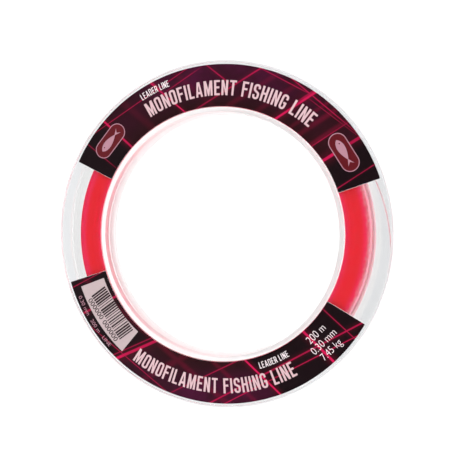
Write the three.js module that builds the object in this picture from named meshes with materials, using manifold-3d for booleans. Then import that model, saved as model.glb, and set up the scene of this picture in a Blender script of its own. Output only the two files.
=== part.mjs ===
// Fishing line spool: a flat ring of clear plastic, moulded as two halves that snap together at the
// drum, wound with a fine pink line and carrying two printed labels on its front flange.
// Millimetres, +Z up. The spool lies on its rear face. The origin is the centre of the bore in the
// plane of that face, and +Z is the spool's own axis.
import * as THREE from 'three';
import { mergeVertices } from 'three/addons/utils/BufferGeometryUtils.js';
import Module from 'manifold-3d';

// ---- Driving dimensions ----
const RIM_R = 60; // outside of both flanges
const BORE_R = 42.25; // the open middle of the spool
const DRUM_R = 44; // the wall that the line is wound on
const THICKNESS = 10; // over the lips of both flanges
const PLATE = 1; // flange plate
const LIP = 0.4; // how far the rim lip and the bore lip stand above the plate
const RIM_LIP_R = 59.35; // inside of the rim lip
const EDGE = 0.25; // broken edges of the mouldings
const FIT_GAP = 0.1; // between the two halves
const RINGS = 72; // facets round the axis

// The inner sleeve belongs to the rear half, and the front half's sleeve slides over it.
const SLEEVE_R = 43.05;
const SLEEVE_TOP = 6.2;
const SNAP_Z = 5.2; // middle of the snap bead
const SNAP_HALF = 0.3;
const SNAP_RISE = 0.15;

const WINDING_INNER_R = 44.3;
const WINDING_FRONT_R = 52.5;
const WINDING_REAR_R = 53.3; // the last, looser turns lie against the rear flange
const WINDING_CLEARANCE = 0.1; // to each flange
const WINDING_SHOULDER = 0.3; // the turns beside each flange lie a little lower
const LINE_R = 0.15; // 0.30 mm line

// The slit in the rear rim that holds the line's free end.
const SLIT_DEG = -9;
const SLIT_WIDTH = 0.7;
const SLIT_INNER_R = 57.8;

const TAPE_INNER_R = 44.04;
const TAPE_OUTER_R = 44.2;
const TAPE_LENGTH = 12;
const TAPE_WIDTH = 5;
const TAPE_DEG = -4;

const LABEL_INNER_R = 44.2;
const LABEL_OUTER_R = 58.7;
const LABEL_THICKNESS = 0.15;
const LABEL_LIFT = 0.03; // the glue under the film
const LABEL_CORNER = 0.3;
const UPPER_LABEL_DEG = [18.6, 153.8];
const LOWER_LABEL_DEG = [-162.5, -29.9];

// ---- Levels that follow from the dimensions ----
const REAR_PLATE_TOP = LIP + PLATE;
const FRONT_PLATE_TOP = THICKNESS - LIP;
const FRONT_PLATE_BOTTOM = FRONT_PLATE_TOP - PLATE;

const radians = THREE.MathUtils.degToRad;

function polar(radius, angle) {
  return new THREE.Vector2(radius * Math.cos(angle), radius * Math.sin(angle));
}

// A ring turned round +Z from a closed outline of [radius, height] points, anticlockwise.
function ring(outline) {
  const loop = [...outline, outline[0]].map(([radius, height]) => new THREE.Vector2(radius, height));
  return new THREE.LatheGeometry(loop, RINGS).rotateX(Math.PI / 2);
}

// A band between two radii and two angles, raised to a height, with its four corners rounded.
function sector(innerR, outerR, [startDeg, endDeg], height, corner) {
  const start = radians(startDeg);
  const end = radians(endDeg);
  const shape = new THREE.Shape();
  const roundCorner = (radius, angle, next) => {
    const tip = polar(radius, angle);
    shape.quadraticCurveTo(tip.x, tip.y, next.x, next.y);
  };
  const from = polar(innerR + corner, start);
  const across = polar(outerR - corner, start);
  const back = polar(innerR + corner, end);
  shape.moveTo(from.x, from.y);
  shape.lineTo(across.x, across.y);
  roundCorner(outerR, start, polar(outerR, start + corner / outerR));
  shape.absarc(0, 0, outerR, start + corner / outerR, end - corner / outerR, false);
  roundCorner(outerR, end, polar(outerR - corner, end));
  shape.lineTo(back.x, back.y);
  roundCorner(innerR, end, polar(innerR, end - corner / innerR));
  shape.absarc(0, 0, innerR, end - corner / innerR, start + corner / innerR, true);
  roundCorner(innerR, start, from);
  return new THREE.ExtrudeGeometry(shape, { depth: height, curveSegments: 12, bevelEnabled: false });
}

// ---- Boolean cuts ----
const wasm = await Module();
wasm.setup();

function toSolid(geometry) {
  const bare = geometry.clone();
  bare.deleteAttribute('normal');
  bare.deleteAttribute('uv');
  const merged = mergeVertices(bare);
  return new wasm.Manifold(
    new wasm.Mesh({
      numProp: 3,
      vertProperties: new Float32Array(merged.attributes.position.array),
      triVerts: new Uint32Array(merged.index.array),
    }),
  );
}

function toGeometry(solid) {
  const mesh = solid.getMesh();
  const geometry = new THREE.BufferGeometry();
  geometry.setAttribute('position', new THREE.BufferAttribute(new Float32Array(mesh.vertProperties), 3));
  geometry.setIndex(new THREE.BufferAttribute(new Uint32Array(mesh.triVerts), 1));
  geometry.computeVertexNormals();
  return geometry;
}

// ---- The mouldings ----

// The flange outline from the rim lip round to the plate's inner face, for a flange whose outside
// is at z = 0. Both halves use it, and the front half turns it over.
function flangeOutline() {
  return [
    [BORE_R + EDGE, 0],
    [DRUM_R - EDGE, 0],
    [DRUM_R, EDGE],
    [DRUM_R, LIP],
    [RIM_LIP_R, LIP],
    [RIM_LIP_R + LIP / 4, 0],
    [RIM_R - EDGE, 0],
    [RIM_R, EDGE],
    [RIM_R, REAR_PLATE_TOP - EDGE],
    [RIM_R - EDGE, REAR_PLATE_TOP],
  ];
}

function rearHalf() {
  const body = ring([
    ...flangeOutline(),
    [SLEEVE_R, REAR_PLATE_TOP],
    [SLEEVE_R, SNAP_Z - SNAP_HALF],
    [SLEEVE_R + SNAP_RISE, SNAP_Z],
    [SLEEVE_R, SNAP_Z + SNAP_HALF],
    [SLEEVE_R, SLEEVE_TOP - EDGE],
    [SLEEVE_R - EDGE, SLEEVE_TOP],
    [BORE_R, SLEEVE_TOP],
    [BORE_R, EDGE],
  ]);
  const slitLength = RIM_R + 1 - SLIT_INNER_R;
  const slit = new THREE.BoxGeometry(slitLength, SLIT_WIDTH, 2 * REAR_PLATE_TOP);
  slit.translate(SLIT_INNER_R + slitLength / 2, 0, REAR_PLATE_TOP / 2);
  slit.rotateZ(radians(SLIT_DEG));
  return toGeometry(toSolid(body).subtract(toSolid(slit)));
}

function frontHalf() {
  const turnedOver = flangeOutline().map(([radius, height]) => [radius, THICKNESS - height]);
  const innerWallR = SLEEVE_R + FIT_GAP;
  return ring([
    ...turnedOver.reverse(),
    [BORE_R, THICKNESS - EDGE],
    [BORE_R, SLEEVE_TOP + 2 * FIT_GAP],
    [innerWallR, SLEEVE_TOP + 2 * FIT_GAP],
    [innerWallR, SNAP_Z + SNAP_HALF + FIT_GAP],
    [innerWallR + SNAP_RISE, SNAP_Z],
    [innerWallR, SNAP_Z - SNAP_HALF - FIT_GAP],
    [innerWallR, REAR_PLATE_TOP + FIT_GAP],
    [DRUM_R, REAR_PLATE_TOP + FIT_GAP],
    [DRUM_R, FRONT_PLATE_BOTTOM],
  ]);
}

// ---- The line ----

function lineWinding() {
  const low = REAR_PLATE_TOP + WINDING_CLEARANCE;
  const high = FRONT_PLATE_BOTTOM - WINDING_CLEARANCE;
  return ring([
    [WINDING_INNER_R, low],
    [WINDING_REAR_R - WINDING_SHOULDER, low],
    [WINDING_REAR_R, low + WINDING_SHOULDER],
    [WINDING_FRONT_R, high - WINDING_SHOULDER],
    [WINDING_FRONT_R - WINDING_SHOULDER, high],
    [WINDING_INNER_R, high],
  ]);
}

// The free end leaves the winding, springs out to the rim and goes down through the slit. Its last
// few millimetres lie under the rear plate, inside the rim lip.
const TAIL_START_DEG = 80;
const TAIL_START_R = 53.6;
const TAIL_END_R = 58.95;
const TAIL_START_Z = 4;
const TAIL_RUN_Z = 1.85;
const TAIL_TAG_Z = 0.2;
const TAIL_SPRING = 1.9; // how late the line leaves the winding's curve
const TAIL_STEPS = 14;
const TAIL_RUN_END_DEG = SLIT_DEG + 1.1;

function tailRoute() {
  const at = (radius, degrees, height) => {
    const flat = polar(radius, radians(degrees));
    return new THREE.Vector3(flat.x, flat.y, height);
  };
  const points = [];
  for (let step = 0; step <= TAIL_STEPS; step += 1) {
    const along = step / TAIL_STEPS;
    points.push(
      at(
        TAIL_START_R + (TAIL_END_R - TAIL_START_R) * along ** TAIL_SPRING,
        THREE.MathUtils.lerp(TAIL_START_DEG, TAIL_RUN_END_DEG, along),
        TAIL_START_Z + (TAIL_RUN_Z - TAIL_START_Z) * THREE.MathUtils.smoothstep(along, 0, 0.8),
      ),
    );
  }
  points.push(
    at(TAIL_END_R, SLIT_DEG + 0.45, TAIL_RUN_Z - 0.02),
    at(TAIL_END_R, SLIT_DEG + 0.1, TAIL_RUN_Z - 0.25),
    at(TAIL_END_R, SLIT_DEG, 1.3),
    at(TAIL_END_R, SLIT_DEG, 0.7),
    at(TAIL_END_R, SLIT_DEG - 0.12, TAIL_TAG_Z + 0.2),
    at(TAIL_END_R, SLIT_DEG - 0.5, TAIL_TAG_Z + 0.01),
    at(TAIL_END_R, SLIT_DEG - 1.3, TAIL_TAG_Z),
    at(TAIL_END_R, SLIT_DEG - 2.4, TAIL_TAG_Z),
    at(TAIL_END_R, SLIT_DEG - 3.6, TAIL_TAG_Z),
  );
  return new THREE.CatmullRomCurve3(points, false, 'centripetal');
}

function lineTail() {
  const section = new THREE.Shape();
  const sides = 8;
  for (let side = 0; side < sides; side += 1) {
    const corner = polar(LINE_R, (2 * Math.PI * side) / sides);
    if (side === 0) section.moveTo(corner.x, corner.y);
    else section.lineTo(corner.x, corner.y);
  }
  return new THREE.ExtrudeGeometry(section, { steps: 80, extrudePath: tailRoute() });
}

// The strip of tape that holds the start of the line on the drum.
function anchorTape() {
  const halfDeg = THREE.MathUtils.radToDeg(TAPE_LENGTH / 2 / TAPE_INNER_R);
  const span = [TAPE_DEG - halfDeg, TAPE_DEG + halfDeg];
  const strip = sector(TAPE_INNER_R, TAPE_OUTER_R, span, TAPE_WIDTH, LINE_R / 5);
  return strip.translate(0, 0, (THICKNESS - TAPE_WIDTH) / 2);
}

function label(span) {
  const film = sector(LABEL_INNER_R, LABEL_OUTER_R, span, LABEL_THICKNESS, LABEL_CORNER);
  return film.translate(0, 0, FRONT_PLATE_TOP + LABEL_LIFT);
}

// ---- Finishes ----
function clearPlastic() {
  return new THREE.MeshStandardMaterial({
    color: 0xe9eeee,
    roughness: 0.08,
    metalness: 0,
    transparent: true,
    opacity: 0.35,
  });
}

function pinkLine() {
  return new THREE.MeshStandardMaterial({ color: 0xe62c42, roughness: 0.25, metalness: 0 });
}

function printedFilm() {
  return new THREE.MeshStandardMaterial({ color: 0x3d1929, roughness: 0.35, metalness: 0 });
}

function clearTape() {
  return new THREE.MeshStandardMaterial({ color: 0xf2f0e6, roughness: 0.3, metalness: 0 });
}

// ---- Assembly ----
const group = new THREE.Group();

function add(name, geometry, material) {
  const mesh = new THREE.Mesh(geometry, material);
  mesh.name = name;
  group.add(mesh);
}

add('rear_half', rearHalf(), clearPlastic());
add('front_half', frontHalf(), clearPlastic());
add('anchor_tape', anchorTape(), clearTape());
add('line_winding', lineWinding(), pinkLine());
add('line_tail', lineTail(), pinkLine());
add('upper_label', label(UPPER_LABEL_DEG), printedFilm());
add('lower_label', label(LOWER_LABEL_DEG), printedFilm());

export default group;
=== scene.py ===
"""Fishing line spool: a flat ring of clear plastic in two snapped halves, wound with pink line.

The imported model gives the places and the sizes. Each sub-assembly is a class that builds its own
meshes and dresses them. Sizes in the classes are millimetres, and meshes are made in metres.
"""

import logging
import math
from dataclasses import dataclass
from enum import Enum
from typing import Any, Callable, Iterable, Sequence

import bmesh
import bpy
from mathutils import Matrix, Vector


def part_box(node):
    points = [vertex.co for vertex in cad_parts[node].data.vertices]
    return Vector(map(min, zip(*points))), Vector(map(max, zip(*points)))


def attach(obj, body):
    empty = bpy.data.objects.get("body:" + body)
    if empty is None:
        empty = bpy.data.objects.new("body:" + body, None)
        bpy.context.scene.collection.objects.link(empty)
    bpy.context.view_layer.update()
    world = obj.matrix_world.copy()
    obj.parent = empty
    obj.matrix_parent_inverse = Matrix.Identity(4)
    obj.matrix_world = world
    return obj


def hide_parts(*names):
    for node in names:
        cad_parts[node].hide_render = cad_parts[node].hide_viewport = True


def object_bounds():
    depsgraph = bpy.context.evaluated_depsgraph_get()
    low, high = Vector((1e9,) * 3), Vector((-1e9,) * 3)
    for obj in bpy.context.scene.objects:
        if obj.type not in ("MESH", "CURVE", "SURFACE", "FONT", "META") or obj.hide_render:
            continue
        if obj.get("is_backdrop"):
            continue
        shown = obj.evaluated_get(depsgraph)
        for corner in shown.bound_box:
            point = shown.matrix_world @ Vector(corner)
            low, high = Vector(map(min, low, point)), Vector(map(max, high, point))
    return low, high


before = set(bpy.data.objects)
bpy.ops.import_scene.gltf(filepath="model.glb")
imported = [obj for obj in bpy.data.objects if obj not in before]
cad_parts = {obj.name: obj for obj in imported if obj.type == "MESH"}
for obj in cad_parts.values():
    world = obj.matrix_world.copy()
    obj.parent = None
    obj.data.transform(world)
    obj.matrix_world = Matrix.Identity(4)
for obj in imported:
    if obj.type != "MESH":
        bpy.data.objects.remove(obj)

MM = 0.001
ROOT = "root"
log = logging.getLogger("spool")

Point2 = tuple[float, float]
Colour = tuple[float, float, float]
Move = Callable[[float, float], Point2]


# ---------------------------------------------------------------------------------------------
# Mesh helpers
# ---------------------------------------------------------------------------------------------


def feed(tree: Any, socket: Any, value: Any) -> None:
    """Link a socket to another one, or give it a plain value.

    Args:
        tree: The node tree that both are in.
        socket: The input socket.
        value: An output socket to link from, or the value.
    """
    if isinstance(value, bpy.types.NodeSocket):
        tree.links.new(value, socket)
    else:
        socket.default_value = value


def add_node(tree: Any, kind: str, inputs: dict[Any, Any] | None, settings: dict[str, Any]) -> Any:
    """Add a node to a tree.

    Args:
        tree: The node tree.
        kind: The node's full type.
        inputs: Sockets to link from, or plain values, by socket name or number.
        settings: Properties of the node, set before its inputs.

    Returns:
        The node.
    """
    node = tree.nodes.new(kind)
    for key, value in settings.items():
        setattr(node, key, value)
    for key, value in (inputs or {}).items():
        feed(tree, node.inputs[key], value)
    return node


def polar(radius: float, degrees: float) -> Point2:
    """Give the point at a radius and an angle in degrees."""
    angle = math.radians(degrees)
    return radius * math.cos(angle), radius * math.sin(angle)


def mesh_from_bmesh(name: str, bm: bmesh.types.BMesh, unit: float = MM) -> bpy.types.Mesh:
    """Turn a bmesh into a mesh in metres and free it.

    Args:
        name: The mesh's name.
        bm: The bmesh, which is freed.
        unit: Metres in one unit of the bmesh.

    Returns:
        The new mesh.
    """
    if unit != 1.0:
        bmesh.ops.scale(bm, vec=(unit, unit, unit), verts=bm.verts)
    mesh = bpy.data.meshes.new(name)
    bm.to_mesh(mesh)
    bm.free()
    return mesh


def place(name: str, mesh: bpy.types.Mesh, smooth_deg: float | None = None) -> bpy.types.Object:
    """Link a mesh into the scene as an object at the origin.

    Args:
        name: The object's name.
        mesh: Its mesh, in metres, already in place.
        smooth_deg: Edges that turn by less than this many degrees are shaded smooth.

    Returns:
        The new object.
    """
    if smooth_deg is not None:
        mesh.polygons.foreach_set("use_smooth", [True] * len(mesh.polygons))
        mesh.set_sharp_from_angle(angle=math.radians(smooth_deg))
    piece = bpy.data.objects.new(name, mesh)
    bpy.context.scene.collection.objects.link(piece)
    return piece


def settle(piece: bpy.types.Object, slot: str, *stands_for: str) -> bpy.types.Object:
    """Attach a finished piece to its body, log its material slot and hide the CAD nodes that it stands for.

    Args:
        piece: The finished piece.
        slot: The name of its material slot, which is only logged.
        stands_for: The CAD nodes that it replaces.

    Returns:
        The same piece.
    """
    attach(piece, ROOT)
    if stands_for:
        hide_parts(*stands_for)
    log.info("%s: %d faces, slot %s", piece.name, len(piece.data.polygons), slot)
    return piece


def applied(piece: bpy.types.Object) -> bpy.types.Object:
    """Apply a piece's modifiers to its mesh.

    Args:
        piece: The piece, whose modifiers are removed.

    Returns:
        The same piece, with a plain mesh.
    """
    depsgraph = bpy.context.evaluated_depsgraph_get()
    evaluated = piece.evaluated_get(depsgraph)
    mesh = bpy.data.meshes.new_from_object(evaluated, preserve_all_data_layers=True, depsgraph=depsgraph)
    piece.modifiers.clear()
    old = piece.data
    piece.data = mesh
    mesh.name = piece.name
    bpy.data.meshes.remove(old)
    return piece


def rounded_outline(corners: Sequence[tuple[float, float, float]], steps: int, hold: float) -> list[Point2]:
    """Round the corners of a closed outline, and hold its long straight stretches flat.

    Args:
        corners: Points (x, y, fillet radius), anticlockwise.
        steps: Arc steps at each rounded corner.
        hold: How far from a straight stretch's ends its extra points lie.

    Returns:
        The outline's points.
    """
    count = len(corners)
    arcs: list[list[Vector]] = []
    for index, (x, y, fillet) in enumerate(corners):
        here = Vector((x, y))
        before = Vector(corners[index - 1][:2])
        after = Vector(corners[(index + 1) % count][:2])
        back, ahead = (before - here), (after - here)
        half_angle = back.angle(ahead) / 2
        reach = min(fillet / math.tan(half_angle), 0.49 * back.length, 0.49 * ahead.length)
        if reach < 1e-4:
            arcs.append([here])
            continue
        start, end = here + back.normalized() * reach, here + ahead.normalized() * reach
        arc = []
        for step in range(steps + 1):
            share = step / steps
            arc.append(start * (1 - share) ** 2 + here * 2 * share * (1 - share) + end * share**2)
        arcs.append(arc)
    outline: list[Point2] = []
    for index, arc in enumerate(arcs):
        outline += [tuple(point) for point in arc]
        last, following = arc[-1], arcs[(index + 1) % count][0]
        gap = following - last
        if gap.length > 4 * hold:
            step_in = gap.normalized() * hold
            outline += [tuple(last + step_in), tuple(following - step_in)]
    return outline


def lathed(outline: Sequence[Point2], segments: int) -> bmesh.types.BMesh:
    """Turn a closed outline round the axis.

    Args:
        outline: Points (radius, height), anticlockwise, so that faces point outwards.
        segments: Steps round the axis.

    Returns:
        A closed bmesh in millimetres.
    """
    bm = bmesh.new()
    rings = []
    for step in range(segments):
        turn = 360 * step / segments
        rings.append([bm.verts.new((*polar(radius, turn), height)) for radius, height in outline])
    count = len(outline)
    for step in range(segments):
        here, there = rings[step], rings[(step + 1) % segments]
        for index in range(count):
            onward = (index + 1) % count
            bm.faces.new((here[index], there[index], there[onward], here[onward]))
    bmesh.ops.recalc_face_normals(bm, faces=bm.faces)
    return bm


def prism(
    bm: bmesh.types.BMesh, outline: Sequence[Point2], low: float, high: float, finish: int = 0
) -> None:
    """Add an upright prism on a flat outline.

    Args:
        bm: The bmesh to add to, in millimetres.
        outline: The outline, anticlockwise.
        low: Height of the bottom.
        high: Height of the top.
        finish: Material index of its faces.
    """
    bottom = [bm.verts.new((x, y, low)) for x, y in outline]
    top = [bm.verts.new((x, y, high)) for x, y in outline]
    faces = [bm.faces.new(top), bm.faces.new(bottom[::-1])]
    for index in range(len(outline)):
        onward = (index + 1) % len(outline)
        faces.append(bm.faces.new((bottom[index], bottom[onward], top[onward], top[index])))
    for face in faces:
        face.material_index = finish


def skin(bm: bmesh.types.BMesh, rings: Sequence[Sequence[bmesh.types.BMVert]]) -> None:
    """Join rings of points into a closed tube with flat ends, its faces outwards.

    Args:
        bm: The bmesh that the points are in.
        rings: Rings of the same number of points, from one end to the other.
    """
    for here, there in zip(rings, rings[1:]):
        for index in range(len(here)):
            onward = (index + 1) % len(here)
            bm.faces.new((here[index], here[onward], there[onward], there[index]))
    bm.faces.new(rings[0][::-1])
    bm.faces.new(rings[-1])
    bmesh.ops.recalc_face_normals(bm, faces=bm.faces)


def corner_cut(radius: float, from_edge: float) -> float:
    """Give how far a rounded corner draws an edge in.

    Args:
        radius: The corner's radius.
        from_edge: Distance from the edge that the corner starts at.

    Returns:
        The distance drawn in, which is 0 beyond the corner.
    """
    if from_edge >= radius:
        return 0.0
    return radius - math.sqrt(radius**2 - (radius - from_edge) ** 2)


# ---------------------------------------------------------------------------------------------
# Geometry Nodes
# ---------------------------------------------------------------------------------------------


class GeometryTree:
    """A Geometry Nodes tree with named inputs, built a node at a time."""

    def __init__(self, name: str) -> None:
        """Start a tree with one geometry output.

        Args:
            name: The tree's name.
        """
        self.tree = bpy.data.node_groups.new(name, "GeometryNodeTree")
        self.tree.interface.new_socket("Geometry", in_out="OUTPUT", socket_type="NodeSocketGeometry")
        self.source = self.tree.nodes.new("NodeGroupInput")
        self.sink = self.tree.nodes.new("NodeGroupOutput")
        self.identifiers: dict[str, str] = {}

    def input(self, name: str, kind: str = "Float") -> Any:
        """Add a named input and give its socket inside the tree.

        Args:
            name: The input's name.
            kind: Its socket type, without the NodeSocket prefix.

        Returns:
            Its socket.
        """
        item = self.tree.interface.new_socket(name, in_out="INPUT", socket_type=f"NodeSocket{kind}")
        self.identifiers[name] = item.identifier
        return self.source.outputs[name]

    def node(self, kind: str, inputs: dict[Any, Any] | None = None, **settings: Any) -> Any:
        """Add a node.

        Args:
            kind: The node's type, without its GeometryNode prefix unless it has another.
            inputs: Sockets to link from, or plain values, by socket name or number.
            settings: Properties of the node.

        Returns:
            The node.
        """
        known = kind if kind.startswith(("Shader", "Function")) else f"GeometryNode{kind}"
        return add_node(self.tree, known, inputs, settings)

    def math(self, operation: str, *values: Any) -> Any:
        """Add a Math node on sockets or numbers and give its output."""
        inputs = dict(enumerate(values))
        return self.node("ShaderNodeMath", inputs, operation=operation).outputs[0]

    def vector(self, x: Any, y: Any, z: Any) -> Any:
        """Combine three sockets or numbers into a vector."""
        return self.node("ShaderNodeCombineXYZ", {0: x, 1: y, 2: z}).outputs[0]

    def finish(self, geometry: Any, material: Any) -> None:
        """End the tree in Realize Instances, Shade Smooth and Set Material.

        Args:
            geometry: The geometry socket to end with.
            material: The tree's material input.
        """
        real = self.node("RealizeInstances", {0: geometry})
        smooth = self.node("SetShadeSmooth", {0: real.outputs[0]})
        dressed = self.node("SetMaterial", {"Geometry": smooth.outputs[0], "Material": material})
        self.tree.links.new(dressed.outputs[0], self.sink.inputs[0])

    def made(self, name: str, values: dict[str, Any]) -> bpy.types.Object:
        """Run the tree and keep its result as a plain mesh.

        Args:
            name: The new piece's name.
            values: A value for each named input.

        Returns:
            The piece.
        """
        piece = bpy.data.objects.new(name, bpy.data.meshes.new(name))
        modifier = piece.modifiers.new("make", "NODES")
        modifier.node_group = self.tree
        for key, value in values.items():
            modifier[self.identifiers[key]] = value
        bpy.context.scene.collection.objects.link(piece)
        return applied(piece)


# ---------------------------------------------------------------------------------------------
# Shader helpers and shared effects
# ---------------------------------------------------------------------------------------------


class Shading:
    """Adds nodes to a shader tree: a material's, or a shared effect's node group."""

    def __init__(self, tree: Any) -> None:
        """Keep the tree that nodes are added to."""
        self.tree = tree

    def node(self, kind: str, inputs: dict[Any, Any] | None = None, **settings: Any) -> Any:
        """Add a node.

        Args:
            kind: The node's type, without its ShaderNode prefix.
            inputs: Sockets to link from, or plain values, by socket name or number.
            settings: Properties of the node.

        Returns:
            The node.
        """
        return add_node(self.tree, f"ShaderNode{kind}", inputs, settings)

    def math(self, operation: str, *values: Any, clamp: bool = False) -> Any:
        """Add a Math node on sockets or numbers and give its output."""
        return self.node("Math", dict(enumerate(values)), operation=operation, use_clamp=clamp).outputs[0]

    def mix(self, share: Any, first: Any, second: Any, blend: str = "MIX") -> Any:
        """Mix two colours by a share.

        Args:
            share: How much of the second colour there is.
            first: A colour or a socket.
            second: A colour or a socket.
            blend: The way that they blend.

        Returns:
            The mixed colour's socket.
        """
        node = self.node("Mix", data_type="RGBA", blend_type=blend)
        for index, value in ((0, share), (6, first), (7, second)):
            plain_colour = isinstance(value, tuple)
            feed(self.tree, node.inputs[index], (*value, 1.0) if plain_colour else value)
        return node.outputs[2]

    def span(self, value: Any, low: float, high: float, to_low: float = 0.0, to_high: float = 1.0) -> Any:
        """Map a value smoothly from one range to another, clamped."""
        inputs = {0: value, 1: low, 2: high, 3: to_low, 4: to_high}
        return self.node("MapRange", inputs, interpolation_type="SMOOTHSTEP", clamp=True).outputs[0]

    def zone(self, value: Any, edges: Point2, to_low: float = 0.0) -> Any:
        """Map a value in metres smoothly to 1 over a zone that is given in millimetres."""
        return self.span(value, edges[0] * MM, edges[1] * MM, to_low)

    def noise(self, vector: Any, scale: float, detail: float = 3.0, rough: float = 0.5) -> Any:
        """Give a noise value over a vector."""
        inputs = {"Vector": vector, "Scale": scale, "Detail": detail, "Roughness": rough}
        return self.node("TexNoise", inputs).outputs["Fac"]

    def place_coordinates(self) -> Any:
        """Give Object coordinates, which are metres in the row frame."""
        return self.node("TexCoord").outputs["Object"]


class Effect(Enum):
    """Shared effects, each built once as a node group."""

    HANDLING = "handling_marks"
    STREAK = "printed_streak"
    GRAIN = "fine_grain"


def build_handling(group: Shading, source: Any) -> dict[str, Any]:
    """Build fine rub marks and dust from handling.

    Args:
        group: The group's nodes.
        source: The group's input node.

    Returns:
        A mask of marks and a height for them, by output name.
    """
    vector, amount = source.outputs["Vector"], source.outputs["Amount"]
    stretched = group.node("Mapping", {"Vector": vector, "Scale": (1.0, 7.0, 1.0), "Rotation": (0, 0, 0.6)})
    rubs = group.noise(stretched.outputs[0], 900.0, 2.0, 0.6)
    patches = group.span(group.noise(vector, 45.0, 2.0), 0.42, 0.68)
    marks = group.math("MULTIPLY", group.span(rubs, 0.6, 0.74), patches)
    dust = group.span(group.noise(vector, 2600.0, 1.0), 0.74, 0.8)
    both = group.math("MAXIMUM", marks, group.math("MULTIPLY", dust, 0.5))
    return {"Mask": group.math("MULTIPLY", both, amount, clamp=True), "Height": marks}


def build_streak(group: Shading, source: Any) -> dict[str, Any]:
    """Build one straight printed streak with fading ends: bright along its line, with a glow beside it.

    Args:
        group: The group's nodes.
        source: The group's input node.

    Returns:
        The streak's mask, by output name.
    """
    out = source.outputs
    turned = group.node(
        "VectorRotate", {"Vector": out["Vector"], "Angle": out["Angle"]}, rotation_type="Z_AXIS"
    ).outputs[0]
    parts = group.node("SeparateXYZ", {0: turned})
    away = group.math("ABSOLUTE", group.math("SUBTRACT", parts.outputs["Y"], out["Offset"]))
    core = group.math("SUBTRACT", 1.0, group.math("DIVIDE", away, out["Width"]), clamp=True)
    half_soft = group.math("MULTIPLY", out["Softness"], 0.5)
    edge = {
        0: core,
        1: group.math("SUBTRACT", 0.5, half_soft),
        2: group.math("ADD", 0.5, half_soft),
    }
    sharp = group.node("MapRange", edge, interpolation_type="SMOOTHSTEP").outputs[0]
    glow_width = group.math("MULTIPLY", out["Width"], 4.0)
    glow = group.math("SUBTRACT", 1.0, group.math("DIVIDE", away, glow_width))
    soft = group.math("MULTIPLY", group.math("POWER", group.math("MAXIMUM", glow, 0.0), 2.0), 0.12)
    breaks = group.span(group.noise(out["Vector"], 60.0, 1.0), 0.3, 0.6, 0.6, 1.0)
    shape = group.math("MULTIPLY", group.math("MAXIMUM", sharp, soft), breaks)
    ends = []
    for sign, end in ((1.0, "From"), (-1.0, "To")):
        past = group.math("MULTIPLY", group.math("SUBTRACT", parts.outputs["X"], out[end]), sign)
        ends.append(group.math("DIVIDE", past, 6.0 * MM, clamp=True))
    shape = group.math("MULTIPLY", shape, group.math("MULTIPLY", *ends))
    return {"Mask": group.math("MULTIPLY", shape, out["Strength"], clamp=True)}


def build_grain(group: Shading, source: Any) -> dict[str, Any]:
    """Build a fine even grain.

    Args:
        group: The group's nodes.
        source: The group's input node.

    Returns:
        A value around 1 and a height, by output name.
    """
    vector, scale, amount = (source.outputs[key] for key in ("Vector", "Scale", "Amount"))
    noise = group.node("TexNoise", {"Vector": vector, "Scale": scale, "Detail": 2.0}).outputs["Fac"]
    centred = group.math("SUBTRACT", noise, 0.5)
    return {"Value": group.math("ADD", 1.0, group.math("MULTIPLY", centred, amount)), "Height": noise}


EFFECTS: dict[Effect, tuple[dict[str, str], Callable[[Shading, Any], dict[str, Any]]]] = {
    Effect.HANDLING: ({"Vector": "Vector", "Amount": "Float"}, build_handling),
    Effect.STREAK: (
        {"Vector": "Vector"}
        | dict.fromkeys(("Angle", "Offset", "Width", "Softness", "Strength", "From", "To"), "Float"),
        build_streak,
    ),
    Effect.GRAIN: ({"Vector": "Vector", "Scale": "Float", "Amount": "Float"}, build_grain),
}


def effect_group(effect: Effect) -> Any:
    """Give a shared effect's node group, built the first time that it is asked for.

    Args:
        effect: The effect.

    Returns:
        Its node group.
    """
    existing = bpy.data.node_groups.get(effect.value)
    if existing:
        return existing
    inputs, build = EFFECTS[effect]
    tree = bpy.data.node_groups.new(effect.value, "ShaderNodeTree")
    for name, kind in inputs.items():
        tree.interface.new_socket(name, in_out="INPUT", socket_type=f"NodeSocket{kind}")
    group = Shading(tree)
    results = build(group, tree.nodes.new("NodeGroupInput"))
    sink = tree.nodes.new("NodeGroupOutput")
    for name, socket in results.items():
        tree.interface.new_socket(name, in_out="OUTPUT", socket_type="NodeSocketFloat")
        tree.links.new(socket, sink.inputs[name])
    return tree


def use_effect(shading: Shading, effect: Effect, **values: Any) -> Any:
    """Put a shared effect in a material with its own values.

    Args:
        shading: The material's nodes.
        effect: The effect.
        values: A value or a socket for each of its inputs.

    Returns:
        The group node.
    """
    return shading.node("Group", values, node_tree=effect_group(effect))


# ---------------------------------------------------------------------------------------------
# Finishes
# ---------------------------------------------------------------------------------------------


@dataclass(frozen=True)
class Finish:
    """A named finish that makes one material."""

    name: str

    def material(self) -> bpy.types.Material:
        """Give the material, made the first time that it is asked for.

        Returns:
            The material.
        """
        name = f"finish_{self.name}"
        existing = bpy.data.materials.get(name)
        if existing:
            return existing
        material = bpy.data.materials.new(name)
        material.use_nodes = True
        material.node_tree.nodes.clear()
        shading = Shading(material.node_tree)
        surface = self.surface(shading)
        shading.node("OutputMaterial", {"Surface": surface})
        return material

    def surface(self, shading: Shading) -> Any:
        """Build the nodes and give the surface shader's socket."""
        raise NotImplementedError


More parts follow.
